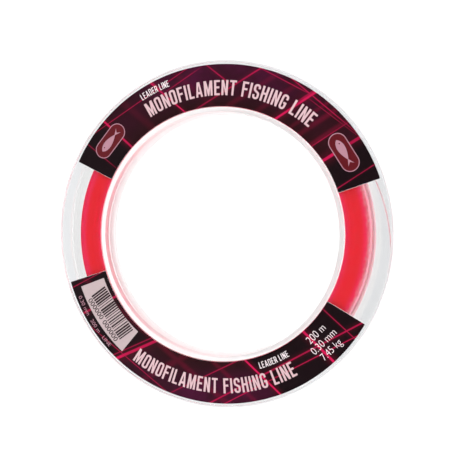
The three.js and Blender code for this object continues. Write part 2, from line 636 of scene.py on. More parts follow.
@dataclass(frozen=True)
class ClearPlastic(Finish):
    """Clear moulded plastic. Rays towards the lamps pass straight through it."""

    tint: Colour = (0.83, 0.835, 0.835)
    rim_tint: Colour = (0.765, 0.778, 0.79)
    passing: Colour = (0.94, 0.94, 0.94)
    edge_rough: float = 0.3
    bore_edge: Point2 = (44.05, 43.85)
    rim_edge: Point2 = (59.25, 59.45)
    rim_zone: Point2 = (55.5, 56.8)
    ior: float = 1.57
    waviness: float = 0.02
    marks: float = 0.5
    deep_from: float = 6.5
    mirrored_from: float = 1.5
    deep_glow: float = 0.22

    def surface(self, shading: Shading) -> Any:
        """Build clear plastic with soft moulding waves and fine rub marks.

        Light that has crossed many walls is made up by a faint glow, in place of the crossings that
        are not followed.

        Args:
            shading: The material's nodes.

        Returns:
            The surface shader's socket.
        """
        where = shading.place_coordinates()
        marks = use_effect(shading, Effect.HANDLING, Vector=where, Amount=self.marks)
        flat = shading.node("VectorMath", {0: where, 1: (1.0, 1.0, 0.0)}, operation="MULTIPLY").outputs[0]
        radius = shading.node("VectorMath", {0: flat}, operation="LENGTH").outputs["Value"]
        edges = [shading.zone(radius, zone) for zone in (self.bore_edge, self.rim_edge)]
        frosted = shading.math("MULTIPLY", shading.math("MAXIMUM", *edges), self.edge_rough)
        rough = shading.span(marks.outputs["Mask"], 0.0, 1.0, 0.025, 0.2)
        rough = shading.math("MAXIMUM", rough, frosted)
        waves = shading.noise(where, 70.0, 1.0)
        bump = shading.node("Bump", {"Strength": self.waviness, "Distance": 0.001, "Height": waves})
        rim = shading.zone(radius, self.rim_zone)
        body = shading.mix(rim, self.tint, self.rim_tint)
        colour = shading.mix(marks.outputs["Mask"], body, tuple(0.96 * part for part in self.rim_tint))
        path = shading.node("LightPath")
        crossed = shading.math("GREATER_THAN", path.outputs["Transmission Depth"], self.deep_from)
        mirrored = shading.math("GREATER_THAN", path.outputs["Glossy Depth"], self.mirrored_from)
        deep = shading.math("MAXIMUM", crossed, mirrored)
        plastic = shading.node(
            "BsdfPrincipled",
            {
                "Base Color": colour,
                "Roughness": rough,
                "IOR": self.ior,
                "Transmission Weight": 1.0,
                "Normal": bump.outputs[0],
                "Emission Color": (1.0, 1.0, 1.0, 1.0),
                "Emission Strength": shading.math("MULTIPLY", deep, self.deep_glow),
            },
        )
        passing = shading.node("BsdfTransparent", {"Color": (*self.passing, 1.0)})
        mixed = shading.node(
            "MixShader", {0: path.outputs["Is Shadow Ray"], 1: plastic.outputs[0], 2: passing.outputs[0]}
        )
        return mixed.outputs[0]


@dataclass(frozen=True)
class DrawnLine(Finish):
    """Drawn single-strand line: saturated, paler towards the inner and outer edges, and with a painted pale
    sheen on the outer turns of the +x flank.
    """

    deep: Colour = (0.92, 0.001, 0.013)
    pale: Colour = (0.94, 0.003, 0.026)
    # Paler pink towards the inner and outer edges of the winding.
    edge_tint: Colour = (0.96, 0.014, 0.090)
    # Painted sheen: the next colour is painted on the outer turns of the +x flank in place of the light
    # that they catch; the zones and shares below place it.
    loose_and_sheen: Colour = (0.92, 0.76, 0.79)
    inner_edge: Point2 = (46.2, 44.2)
    outer_edge: Point2 = (49.4, 51.2)
    sheen_edge: Point2 = (50.9, 54.5)
    sheen_side: Point2 = (-10.0, 35.0)
    slope: float = 0.13
    face_z: Point2 = (8.1, 8.6)
    wall_sheen_share: float = 0.78
    solid: float = 1.0
    low_solid: float = 1.5

    def surface(self, shading: Shading) -> Any:
        """Build the line's colour, which drifts from turn to turn and pales towards the edges, and paint a
        pale sheen on the outer turns of the +x flank, fullest on the front face.

        Line with a solid share under 1 is see-through, apart from its part below low_solid.

        Args:
            shading: The material's nodes.

        Returns:
            The surface socket.
        """
        where = shading.place_coordinates()
        grain = use_effect(shading, Effect.GRAIN, Vector=where, Scale=420.0, Amount=0.5)
        parts = shading.node("SeparateXYZ", {0: where})
        flat = [parts.outputs[axis] for axis in ("X", "Y")]
        squares = [shading.math("MULTIPLY", part, part) for part in flat]
        radius = shading.math("SQRT", shading.math("ADD", *squares))
        turns = shading.node("CombineXYZ", {0: radius, 1: parts.outputs["Z"]}).outputs[0]
        banding = shading.noise(turns, 1500.0, 1.0)
        bands = shading.span(banding, 0.3, 0.75)
        share = shading.math("MULTIPLY", bands, grain.outputs["Value"], clamp=True)
        colour = shading.mix(share, self.deep, self.pale)
        # Paler towards the inner and outer edges of the winding.
        edges = [shading.zone(radius, zone) for zone in (self.inner_edge, self.outer_edge)]
        colour = shading.mix(shading.math("MAXIMUM", *edges), colour, self.edge_tint)
        # Painted sheen: the outer turns on the +x side are coloured pale, more so further out and deeper
        # down, at full strength on the front face and a little less on the wall below it.
        depth = shading.math("SUBTRACT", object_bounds()[1][2], parts.outputs["Z"])
        combed = shading.span(shading.noise(where, 1100.0, 2.0), 0.3, 0.7, -0.3 * MM, 0.3 * MM)
        reach = shading.math("ADD", shading.math("MULTIPLY_ADD", depth, self.slope, radius), combed)
        loose_and_sheen = shading.zone(reach, self.sheen_edge)
        side = shading.zone(parts.outputs["X"], self.sheen_side)
        face = shading.zone(parts.outputs["Z"], self.face_z, self.wall_sheen_share)
        share = shading.math("MULTIPLY", loose_and_sheen, shading.math("MULTIPLY", side, face))
        colour = shading.mix(share, colour, self.loose_and_sheen)
        inputs: dict[Any, Any] = {
            "Base Color": colour,
            "Roughness": 0.3,
            "IOR": 1.42,
            "Specular IOR Level": 0.02,
            "Subsurface Weight": 0.3,
            "Subsurface Radius": (1.0, 0.1, 0.2),
            "Subsurface Scale": 0.0012,
        }
        if self.solid < 1.0:
            low = shading.math("LESS_THAN", parts.outputs["Z"], self.low_solid * MM)
            inputs["Alpha"] = shading.math("MAXIMUM", low, self.solid)
        return shading.node("BsdfPrincipled", inputs).outputs[0]


@dataclass(frozen=True)
class Streak:
    """A straight printed streak: its direction, its distance from the axis, its look and its ends."""

    direction: float
    offset: float
    width: float
    strength: float
    ends: Point2 = (-80.0, 80.0)
    softness: float = 0.3


@dataclass(frozen=True)
class LabelPrint(Finish):
    """The printed face of a label: a dark ground that warms between two bold streaks."""

    streaks: tuple[Streak, ...] = ()
    bounds: tuple[int, int] = (0, 1)
    warm_side: float = 1.0
    inner: float = 44.2
    outer: float = 58.7
    ends: Colour = (0.006, 0.0025, 0.0035)
    warm: Colour = (0.038, 0.0035, 0.018)
    brown: Colour = (0.013, 0.0030, 0.0042)
    streak_colour: Colour = (0.40, 0.006, 0.052)
    warm_reach: float = 46.0

    def side(self, shading: Shading, where: Any, streak: Streak) -> Any:
        """Tell the warm side of a streak from the other, with a narrow edge.

        Args:
            shading: The material's nodes.
            where: The coordinates' socket.
            streak: The streak.

        Returns:
            A socket that is 1 on the warm side and 0 on the other.
        """
        turned = shading.node(
            "VectorRotate",
            {"Vector": where, "Angle": math.radians(-streak.direction)},
            rotation_type="Z_AXIS",
        )
        across = shading.node("SeparateXYZ", {0: turned.outputs[0]}).outputs["Y"]
        beyond = shading.math("SUBTRACT", across, streak.offset * MM)
        signed = shading.math("MULTIPLY", beyond, self.warm_side)
        return shading.span(signed, -0.3 * MM, 2.5 * MM)

    def surface(self, shading: Shading) -> Any:
        """Build the ground, the streaks and a fine print grain.

        Args:
            shading: The material's nodes.

        Returns:
            The surface shader's socket.
        """
        where = shading.place_coordinates()
        length = shading.node("VectorMath", {0: where}, operation="LENGTH").outputs["Value"]
        out = shading.span(length, (self.inner + 1.0) * MM, (self.outer - 3.0) * MM)
        clouds = shading.span(shading.noise(where, 75.0, 3.0, 0.6), 0.35, 0.7, 0.4, 1.0)
        beside = shading.math("ABSOLUTE", shading.node("SeparateXYZ", {0: where}).outputs["X"])
        fade = shading.span(beside, self.warm_reach * MM, 5.0 * MM, 0.15)
        clouds = shading.math("MULTIPLY", clouds, fade)
        ground = shading.mix(shading.math("MULTIPLY", out, clouds), self.brown, self.warm)
        sides = [self.side(shading, where, self.streaks[index]) for index in self.bounds]
        inside = shading.math("MULTIPLY", *sides)
        colour = shading.mix(inside, self.ends, ground)
        total: Any = 0.0
        for streak in self.streaks:
            node = use_effect(
                shading,
                Effect.STREAK,
                Vector=where,
                Angle=math.radians(-streak.direction),
                Offset=streak.offset * MM,
                Width=streak.width * MM,
                Softness=streak.softness,
                Strength=streak.strength,
                From=streak.ends[0] * MM,
                To=streak.ends[1] * MM,
            )
            total = shading.math("MAXIMUM", total, node.outputs["Mask"])
        colour = shading.mix(total, colour, self.streak_colour)
        grain = use_effect(shading, Effect.GRAIN, Vector=where, Scale=5200.0, Amount=0.35)
        colour = shading.mix(1.0, colour, grain.outputs["Value"], "MULTIPLY")
        marks = use_effect(shading, Effect.HANDLING, Vector=where, Amount=0.4)
        rough = shading.span(marks.outputs["Mask"], 0.0, 1.0, 0.32, 0.5)
        relief = {"Strength": 0.05, "Distance": 0.0001, "Height": grain.outputs["Height"]}
        bump = shading.node("Bump", relief)
        film = shading.node(
            "BsdfPrincipled",
            {
                "Base Color": colour,
                "Roughness": rough,
                "IOR": 1.45,
                "Specular IOR Level": 0.1,
                "Normal": bump.outputs[0],
            },
        )
        return film.outputs[0]


@dataclass(frozen=True)
class PlainFilm(Finish):
    """Plain film or ink in one colour, with a fine grain."""

    colour: Colour = (0.8, 0.8, 0.8)
    rough: float = 0.45
    grain: float = 0.12
    scale: float = 3000.0

    def surface(self, shading: Shading) -> Any:
        """Build the colour with its grain.

        Args:
            shading: The material's nodes.

        Returns:
            The surface shader's socket.
        """
        where = shading.place_coordinates()
        grain = use_effect(shading, Effect.GRAIN, Vector=where, Scale=self.scale, Amount=self.grain)
        colour = shading.mix(1.0, self.colour, grain.outputs["Value"], "MULTIPLY")
        rough = shading.math("MULTIPLY", grain.outputs["Value"], self.rough)
        inputs = {"Base Color": colour, "Roughness": rough, "IOR": 1.45, "Specular IOR Level": 0.2}
        return shading.node("BsdfPrincipled", inputs).outputs[0]


@dataclass(frozen=True)
class HazyTape(Finish):
    """Clear adhesive tape, hazed by its glue."""

    tint: Colour = (0.95, 0.94, 0.90)

    def surface(self, shading: Shading) -> Any:
        """Build hazy see-through film.

        Args:
            shading: The material's nodes.

        Returns:
            The surface shader's socket.
        """
        where = shading.place_coordinates()
        haze = shading.span(shading.noise(where, 600.0, 3.0), 0.35, 0.65, 0.25, 0.45)
        film = shading.node(
            "BsdfPrincipled",
            {"Base Color": (*self.tint, 1.0), "Roughness": haze, "IOR": 1.45, "Transmission Weight": 0.85},
        )
        return film.outputs[0]


FRONT_PLASTIC = ClearPlastic("front_plastic")
REAR_PLASTIC = ClearPlastic("rear_plastic", tint=(0.985, 0.985, 0.985), rim_tint=(0.985, 0.985, 0.985))
LINE = DrawnLine("line")
# The free end keeps a saturated pink in place of the painted sheen.
TAIL_LINE = DrawnLine("line_end", loose_and_sheen=(0.95, 0.04, 0.14), solid=0.3)
INK = PlainFilm("pale_ink", colour=(0.47, 0.32, 0.34))
WHITE_INK = PlainFilm("white_ink", colour=(0.64, 0.57, 0.59))
DIM_INK = PlainFilm("dim_ink", colour=(0.30, 0.15, 0.19))
PANEL_INK = PlainFilm("panel_ink", colour=(0.35, 0.28, 0.285), scale=900.0)
BAR_INK = PlainFilm("bar_ink", colour=(0.012, 0.005, 0.007))
BADGE_GROUND = PlainFilm("badge_ground", colour=(0.07, 0.002, 0.005), grain=0.5)
LABEL_BACK = PlainFilm("label_back", colour=(0.80, 0.79, 0.78), rough=0.5)
TAPE = HazyTape("hazy_tape")


# ---------------------------------------------------------------------------------------------
# The mouldings
# ---------------------------------------------------------------------------------------------


@dataclass
class Moulding:
    """One half of the spool's body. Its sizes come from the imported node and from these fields."""

    node: str
    name: str
    drum_r: float = 44.0
    sleeve_r: float = 43.05
    fit_gap: float = 0.1
    plate: float = 1.0
    lip: float = 0.4
    rim_lip_r: float = 59.35
    rim_lip_slope: float = 0.1
    edge: float = 0.22
    snap_z: float = 5.2
    snap_half: float = 0.3
    snap_rise: float = 0.15
    segments: int = 288
    fillet_steps: int = 4
    hold: float = 0.07
    plastic: ClearPlastic = FRONT_PLASTIC

    def __post_init__(self) -> None:
        """Read the rim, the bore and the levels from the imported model."""
        low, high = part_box(self.node)
        self.rim_r = high.x / MM
        self.low, self.high = low.z / MM, high.z / MM
        self.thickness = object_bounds()[1][2] / MM
        self.bore_r = min(math.hypot(v.co.x, v.co.y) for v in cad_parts[self.node].data.vertices) / MM

    def flange(self) -> list[tuple[float, float, float]]:
        """Give the flange's corners, from the bore round to the plate's inner face, outside at z = 0.

        Returns:
            Corners (radius, height, fillet), in millimetres.
        """
        top = self.lip + self.plate
        return [
            (self.bore_r, 0.0, self.edge),
            (self.drum_r, 0.0, self.edge),
            (self.drum_r, self.lip, 0.08),
            (self.rim_lip_r, self.lip, 0.08),
            (self.rim_lip_r + self.rim_lip_slope, 0.0, 0.12),
            (self.rim_r, 0.0, self.edge),
            (self.rim_r, top, self.edge),
        ]

    def corners(self) -> list[tuple[float, float, float]]:
        """Give all the corners, anticlockwise."""
        raise NotImplementedError

    def build(self) -> bpy.types.Object:
        """Turn the outline, finish the mesh and dress it.

        Returns:
            The finished half.
        """
        outline = rounded_outline(self.corners(), self.fillet_steps, self.hold)
        mesh = mesh_from_bmesh(self.name, lathed(outline, self.segments))
        piece = place(self.name, mesh, smooth_deg=30)
        piece.data.materials.append(self.plastic.material())
        self.cut(piece)
        return settle(piece, "clear_shell", self.node)

    def cut(self, piece: bpy.types.Object) -> None:
        """Cut what isn't round. A plain half has nothing to cut."""


@dataclass
class FrontHalf(Moulding):
    """The front flange with the outer drum sleeve."""

    step_gap: float = 0.2

    def corners(self) -> list[tuple[float, float, float]]:
        """Turn the flange over and add the sleeve that slides over the rear half's.

        Returns:
            Corners (radius, height, fillet), in millimetres.
        """
        turned = [(r, self.thickness - z, fillet) for r, z, fillet in reversed(self.flange())]
        wall = self.sleeve_r + self.fit_gap
        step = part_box("rear_half")[1].z / MM + self.step_gap
        return [
            *turned,
            (self.bore_r, step, 0.1),
            (wall, step, 0.05),
            (wall, self.snap_z + self.snap_half + self.fit_gap, 0.05),
            (wall + self.snap_rise, self.snap_z, 0.08),
            (wall, self.snap_z - self.snap_half - self.fit_gap, 0.05),
            (wall, self.low, 0.1),
            (self.drum_r, self.low, 0.1),
            (self.drum_r, self.thickness - self.lip - self.plate, 0.15),
        ]


@dataclass
class RearHalf(Moulding):
    """The rear flange with the inner drum sleeve, its snap bead and the slit for the line's end."""

    slit_deg: float = -9.0
    slit_width: float = 0.7
    slit_inner_r: float = 57.8

    def corners(self) -> list[tuple[float, float, float]]:
        """Add the inner sleeve to the flange.

        Returns:
            Corners (radius, height, fillet), in millimetres.
        """
        wall = self.sleeve_r
        return [
            *self.flange(),
            (wall, self.lip + self.plate, 0.1),
            (wall, self.snap_z - self.snap_half, 0.05),
            (wall + self.snap_rise, self.snap_z, 0.08),
            (wall, self.snap_z + self.snap_half, 0.05),
            (wall, self.high, 0.2),
            (self.bore_r, self.high, 0.1),
        ]

    def cut(self, piece: bpy.types.Object) -> None:
        """Cut the slit through the rim, with a round inner end.

        Args:
            piece: The half, whose mesh is cut.
        """
        half = self.slit_width / 2
        middle = self.slit_inner_r + half
        outline = [(self.rim_r + 1.0, -half), (self.rim_r + 1.0, half)]
        for step in range(9):
            x, y = polar(half, 90 + 180 * step / 8)
            outline.append((middle + x, y))
        bm = bmesh.new()
        prism(bm, outline, -1.0, self.lip + self.plate + 0.5)
        bmesh.ops.rotate(bm, matrix=Matrix.Rotation(math.radians(self.slit_deg), 3, "Z"), verts=bm.verts)
        cutter = place("slit_cutter", mesh_from_bmesh("slit_cutter", bm))
        modifier = piece.modifiers.new("slit", "BOOLEAN")
        modifier.operation, modifier.solver, modifier.object = "DIFFERENCE", "EXACT", cutter
        applied(piece)
        old = cutter.data
        bpy.data.objects.remove(cutter)
        bpy.data.meshes.remove(old)
        piece.data.polygons.foreach_set("use_smooth", [True] * len(piece.data.polygons))
        piece.data.set_sharp_from_angle(angle=math.radians(30))


# ---------------------------------------------------------------------------------------------
# The line
# ---------------------------------------------------------------------------------------------


@dataclass
class LineWinding:
    """The wound line: every turn that shows is real, round a plain core of the hidden ones."""

    line_r: float = 0.15
    drum_r: float = 44.0
    pitch: float = 0.31
    turn_pitch: float = 0.30
    layers: int = 27
    core_layers: int = 24
    building_up: tuple[int, ...] = (5, 3)
    segments: int = 160
    sides: int = 6
    clearance: float = 0.03
    loose_turns: float = 2.4
    loose_from: float = 53.2
    loose_to: float = 53.6
    loose_low: float = 1.75
    loose_high: float = 4.0
    tail_start_deg: float = 80.0
    packed_gap: float = 0.1
    inset_share: float = 0.6
    top_spread: float = 0.05
    build_up_step_deg: float = 40.0
    seed: int = 7

    def __post_init__(self) -> None:
        """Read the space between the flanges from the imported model, and fit whole turns to it."""
        low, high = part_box("line_winding")
        self.low = low.z / MM - self.packed_gap + self.clearance + self.line_r
        self.high = high.z / MM + self.packed_gap - self.clearance - self.line_r
        self.turns = round((self.high - self.low) / self.turn_pitch) + 1
        self.turn_pitch = (self.high - self.low) / (self.turns - 1)
        self.first_r = self.drum_r + self.clearance + self.line_r

    def length_m(self) -> float:
        """Give the length of line in all the turns, the free outer ones too, in metres.

        Returns:
            The length.
        """
        radii = [self.first_r + self.pitch * layer for layer in range(self.layers)]
        full = sum(2 * math.pi * radius * self.turns for radius in radii)
        built = sum(
            2 * math.pi * (radii[-1] + self.pitch * (layer + 1)) * turns
            for layer, turns in enumerate(self.building_up)
        )
        loose_and_sheen = math.pi * (self.loose_from + self.loose_to) * self.loose_turns
        return (full + built + loose_and_sheen) * MM

    def ring_tree(self) -> GeometryTree:
        """Build the tree for the turns that lie against the flanges and the drum.

        Returns:
            The tree.
        """
        tree = GeometryTree("wound_rings")
        first, pitch, low, high, turn_pitch, line_r = (
            tree.input(name)
            for name in ("First Radius", "Layer Pitch", "Low", "High", "Turn Pitch", "Line Radius")
        )
        layers, turns, segments, sides, seed = (
            tree.input(name, "Int") for name in ("Layers", "Turns", "Segments", "Sides", "Seed")
        )
        material = tree.input("Material", "Material")
        circle = tree.node("CurvePrimitiveCircle", {"Resolution": segments, "Radius": 1.0}, mode="RADIUS")
        section = tree.node("CurvePrimitiveCircle", {"Resolution": sides, "Radius": line_r}, mode="RADIUS")
        index = tree.node("InputIndex").outputs[0]

        def rings(count: Any, radius: Any, height: Any) -> Any:
            """Sweep the line round a set of circles, each with its own radius and height.

            Args:
                count: How many circles there are.
                radius: Each circle's radius, by index.
                height: Each circle's height, by index.

            Returns:
                The swept geometry's socket.
            """
            points = tree.node("Points", {"Count": count})
            moved = tree.node(
                "SetPosition",
                {"Geometry": points.outputs[0], "Position": tree.vector(0.0, 0.0, height)},
            )
            lean = tree.node(
                "FunctionNodeRandomValue",
                {0: (-0.0006, -0.0006, 0.0), 1: (0.0006, 0.0006, 6.28), "Seed": seed},
                data_type="FLOAT_VECTOR",
            )
            circles = tree.node(
                "InstanceOnPoints",
                {
                    "Points": moved.outputs[0],
                    "Instance": circle.outputs[0],
                    "Rotation": lean.outputs[0],
                    "Scale": tree.vector(radius, radius, 1.0),
                },
            )
            real = tree.node("RealizeInstances", {0: circles.outputs[0]})
            sweep = {"Curve": real.outputs[0], "Profile Curve": section.outputs[0]}
            return tree.node("CurveToMesh", sweep).outputs[0]

        jitter = tree.node("FunctionNodeRandomValue", {2: -0.00003, 3: 0.00003, "Seed": seed}).outputs[1]
        layer_r = tree.math("ADD", tree.math("ADD", first, tree.math("MULTIPLY", index, pitch)), jitter)
        drum_z = tree.math("ADD", low, tree.math("MULTIPLY", tree.math("ADD", index, 1.0), turn_pitch))
        joined = tree.node("JoinGeometry")
        inner_turns = tree.math("SUBTRACT", turns, 2.0)
        for geometry in (
            rings(layers, layer_r, high),
            rings(layers, layer_r, low),
            rings(inner_turns, first, drum_z),
        ):
            tree.tree.links.new(geometry, joined.inputs[0])
        tree.finish(joined.outputs[0], material)
        return tree

    def spiral_tree(self) -> GeometryTree:
        """Build the tree for a stretch of line that climbs as it goes round.

        Returns:
            The tree.
        """
        tree = GeometryTree("wound_spiral")
        start, end, rise, low, turn, line_r, lap = (
            tree.input(name)
            for name in ("Start Radius", "End Radius", "Rise", "Low", "Turn", "Line Radius", "Laps")
        )
        segments, sides = (tree.input(name, "Int") for name in ("Segments", "Sides"))
        material = tree.input("Material", "Material")
        path = tree.node(
            "CurveSpiral",
            {
                "Resolution": segments,
                "Rotations": lap,
                "Start Radius": start,
                "End Radius": end,
                "Height": rise,
            },
        )
        turned = tree.node(
            "Transform",
            {
                "Geometry": path.outputs[0],
                "Translation": tree.vector(0.0, 0.0, low),
                "Rotation": tree.vector(0.0, 0.0, turn),
            },
        )
        section = tree.node("CurvePrimitiveCircle", {"Resolution": sides, "Radius": line_r}, mode="RADIUS")
        swept = tree.node(
            "CurveToMesh",
            {"Curve": turned.outputs[0], "Profile Curve": section.outputs[0], "Fill Caps": True},
        )
        tree.finish(swept.outputs[0], material)
        return tree

    def spiral(
        self, tree: GeometryTree, name: str, radii: Point2, levels: Point2, lay: Point2
    ) -> bpy.types.Object:
        """Wind a stretch of line from one level to another, ending at an angle.

        Args:
            tree: The spiral tree.
            name: The piece's name.
            radii: Radius at the start and at the end.
            levels: Height at the start and at the end.
            lay: How many times it goes round, and the angle that it ends at.

        Returns:
            The piece.
        """
        laps, end_deg = lay
        return tree.made(
            name,
            {
                "Start Radius": radii[0] * MM,
                "End Radius": radii[1] * MM,
                "Rise": (levels[1] - levels[0]) * MM,
                "Low": levels[0] * MM,
                "Turn": math.radians(end_deg - 360 * laps),
                "Line Radius": self.line_r * MM,
                "Laps": float(laps),
                "Segments": self.segments,
                "Sides": self.sides,
                "Material": LINE.material(),
            },
        )

    def core(self) -> bpy.types.Object:
        """Build the plain core that stands for the turns inside.

        Returns:
            The core, with its finish on.
        """
        inset = self.inset_share * self.line_r
        last = self.first_r + self.pitch * (self.core_layers - 1)
        corners = [
            (self.first_r - self.line_r + inset, self.low - self.line_r + inset, 0.05),
            (last, self.low - self.line_r + inset, 0.05),
            (last, self.high + self.line_r - inset, 0.05),
            (self.first_r - self.line_r + inset, self.high + self.line_r - inset, 0.05),
        ]
        mesh = mesh_from_bmesh("winding_core", lathed(rounded_outline(corners, 2, 0.1), self.segments))
        core = place("winding_core", mesh, smooth_deg=30)
        core.data.materials.append(LINE.material())
        return core

    def build(self) -> None:
        """Wind the line and dress it."""
        rings = self.ring_tree().made(
            "winding_faces",
            {
                "First Radius": self.first_r * MM,
                "Layer Pitch": self.pitch * MM,
                "Low": self.low * MM,
                "High": self.high * MM,
                "Turn Pitch": self.turn_pitch * MM,
                "Line Radius": self.line_r * MM,
                "Layers": self.layers,
                "Turns": self.turns,
                "Segments": self.segments,
                "Sides": self.sides,
                "Seed": self.seed,
                "Material": LINE.material(),
            },
        )
        settle(rings, "pink_line", "line_winding")
        settle(self.core(), "pink_line")
        spiral = self.spiral_tree()
        outer = self.first_r + self.pitch * (self.layers - 1)
        under = outer - self.pitch
        pieces: list[tuple[str, Point2, Point2, Point2]] = [
            ("winding_under_layer", (under, under), (self.low, self.high), (self.turns - 1, 90.0)),
            ("winding_outer_layer", (outer, outer), (self.high, self.low), (self.turns - 1, 0.0)),
            (
                "winding_loose_turns",
                (self.loose_from, self.loose_to),
                (self.loose_low, self.loose_high),
                (self.loose_turns, self.tail_start_deg),
            ),
        ]
        for layer, turns in enumerate(self.building_up):
            radius = outer + self.pitch * (layer + 1)
            top = self.low + self.turn_pitch * turns * (1 + self.top_spread * layer)
            lay = (turns, self.build_up_step_deg * layer)
            pieces.append((f"winding_build_up_{layer}", (radius, radius), (self.low, top), lay))
        for name, radii, levels, lay in pieces:
            settle(self.spiral(spiral, name, radii, levels, lay), "pink_line")
        log.info("line in the turns: %.1f m", self.length_m())


@dataclass
class LineTail:
    """The line's free end: out to the rim, down through the slit and along the rim lip."""

    line_r: float = 0.15
    slit_deg: float = -9.0
    start_deg: float = 80.0
    start_r: float = 53.6
    end_r: float = 58.95
    start_z: float = 4.0
    run_z: float = 1.85
    tag_z: float = 0.2
    spring: float = 1.9
    steps: int = 14
    sides: int = 10
    smoothing: int = 12

    def route(self) -> list[Vector]:
        """Give the points that the line passes through, in millimetres.

        Returns:
            The points, from the winding to the free end.
        """
        run_end = self.slit_deg + 1.1
        points = []
        for step in range(self.steps + 1):
            along = step / self.steps
            drop = min(along / 0.8, 1.0)
            drop = drop * drop * (3 - 2 * drop)
            x, y = polar(
                self.start_r + (self.end_r - self.start_r) * along**self.spring,
                self.start_deg + (run_end - self.start_deg) * along,
            )
            points.append(Vector((x, y, self.start_z + (self.run_z - self.start_z) * drop)))
        near_slit = (
            (0.45, self.run_z - 0.02),
            (0.1, self.run_z - 0.25),
            (0.0, 1.3),
            (0.0, 0.7),
            (-0.12, self.tag_z + 0.2),
            (-0.5, self.tag_z + 0.01),
            (-1.3, self.tag_z),
            (-2.4, self.tag_z),
            (-3.6, self.tag_z),
        )
        for beside, height in near_slit:
            points.append(Vector((*polar(self.end_r, self.slit_deg + beside), height)))
        return points

    def smooth_route(self) -> list[Vector]:
        """Give a centripetal Catmull-Rom curve through the route's points.

        Returns:
            Points along the curve, in millimetres.
        """
        points = self.route()
        padded = [2 * points[0] - points[1], *points, 2 * points[-1] - points[-2]]
        curve = []
        for index in range(1, len(padded) - 2):
            a, b, c, d = padded[index - 1 : index + 3]
            knots = [0.0]
            for first, second in ((a, b), (b, c), (c, d)):
                knots.append(knots[-1] + math.sqrt((second - first).length))
            k0, k1, k2, k3 = knots
            for step in range(self.smoothing):
                t = k1 + (k2 - k1) * step / self.smoothing
                ab = a * ((k1 - t) / (k1 - k0)) + b * ((t - k0) / (k1 - k0))
                bc = b * ((k2 - t) / (k2 - k1)) + c * ((t - k1) / (k2 - k1))
                cd = c * ((k3 - t) / (k3 - k2)) + d * ((t - k2) / (k3 - k2))
                abc = ab * ((k2 - t) / (k2 - k0)) + bc * ((t - k0) / (k2 - k0))
                bcd = bc * ((k3 - t) / (k3 - k1)) + cd * ((t - k1) / (k3 - k1))
                curve.append(abc * ((k2 - t) / (k2 - k1)) + bcd * ((t - k1) / (k2 - k1)))
        return [*curve, points[-1]]

    def build(self) -> None:
        path = self.smooth_route()
        bm = bmesh.new()
        rings = []
        side = Vector((0, 0, 1))
        for index, point in enumerate(path):
            tangent = (path[min(index + 1, len(path) - 1)] - path[max(index - 1, 0)]).normalized()
            side = (side - tangent * side.dot(tangent)).normalized()
            other = tangent.cross(side)
            ring = []
            for corner in range(self.sides):
                x, y = polar(self.line_r, 360 * corner / self.sides)
                ring.append(bm.verts.new(point + side * x + other * y))
            rings.append(ring)
        skin(bm, rings)
        tail = place("line_free_end", mesh_from_bmesh("line_free_end", bm), smooth_deg=50)
        tail.data.materials.append(TAIL_LINE.material())
        settle(tail, "pink_line", "line_tail")
        metres = [tuple(point * MM) for point in path]
        length = sum((Vector(b) - Vector(a)).length for a, b in zip(metres, metres[1:]))
        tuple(metres[0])
        log.info("free end of the line: %.1f mm", length / MM)


@dataclass
class AnchorTape:
    """The strip that holds the first turn on the drum."""

    columns: int = 24
    corner: float = 0.6
    inner: float = 44.005
    outer: float = 44.03

    def build(self) -> None:
        """Bend a strip with round corners to the drum and dress it."""
        low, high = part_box("anchor_tape")
        inner, outer = self.inner, self.outer
        half_deg = math.degrees((high.y - low.y) / MM / 2 / inner)
        middle_deg = math.degrees(math.atan2((high.y + low.y) / 2, high.x))
        bm = bmesh.new()
        bottom, top = low.z / MM, high.z / MM
        grid = []
        for column in range(self.columns + 1):
            turn = middle_deg + half_deg * (2 * column / self.columns - 1)
            from_end = min(column, self.columns - column) / self.columns * 2 * half_deg
            cut = corner_cut(self.corner, math.radians(from_end) * inner)
            grid.append(
                [
                    bm.verts.new((*polar(radius, turn), height))
                    for radius, height in (
                        (inner, bottom + cut),
                        (outer, bottom + cut),
                        (outer, top - cut),
                        (inner, top - cut),
                    )
                ]
            )
        skin(bm, grid)
        tape = place("start_tape", mesh_from_bmesh("start_tape", bm), smooth_deg=30)
        tape.data.materials.append(TAPE.material())
        settle(tape, "clear_tape", "anchor_tape")


# ---------------------------------------------------------------------------------------------
# The labels
# ---------------------------------------------------------------------------------------------


class Reading(Enum):
    """Which way lettering on the ring reads: with its tops outwards, or towards the middle."""

    TOPS_OUT = 1
    TOPS_IN = -1


@dataclass
class Lettering:
    """Generic light lettering, squeezed to a width and a capital height."""

    text: str
    capital: float
    width: float
    weight: float = 0.0
    cap_units: float = 0.682

    def curve(self) -> bpy.types.Curve:
        """Give the lettering as a filled flat curve.

        Returns:
            The curve.
        """
        curve = bpy.data.curves.new("lettering", "FONT")
        curve.body = self.text
        curve.resolution_u = 6
        curve.offset = self.weight
        return curve

    def outline_mesh(self, thickness: float) -> bpy.types.Mesh:
        """Make flat lettering with a little thickness.

        Args:
            thickness: Height of the ink, in millimetres.

        Returns:
            A mesh in millimetres: centred in x, standing on y = 0, from z = 0 up.
        """
        curve = self.curve()
        curve.extrude = 0.5
        holder = bpy.data.objects.new("lettering", curve)
        bpy.context.scene.collection.objects.link(holder)
        depsgraph = bpy.context.evaluated_depsgraph_get()
        mesh = bpy.data.meshes.new_from_object(holder.evaluated_get(depsgraph), depsgraph=depsgraph)
        bpy.data.objects.remove(holder)
        bpy.data.curves.remove(curve)
        xs = [v.co.x for v in mesh.vertices]
        left, right = min(xs), max(xs)
        across = self.width / (right - left)
        up = self.capital / (self.cap_units + 2 * self.weight)
        for vertex in mesh.vertices:
            x, y, z = vertex.co
            vertex.co = ((x - (left + right) / 2) * across, (y + self.weight) * up, (z + 0.5) * thickness)
        return mesh


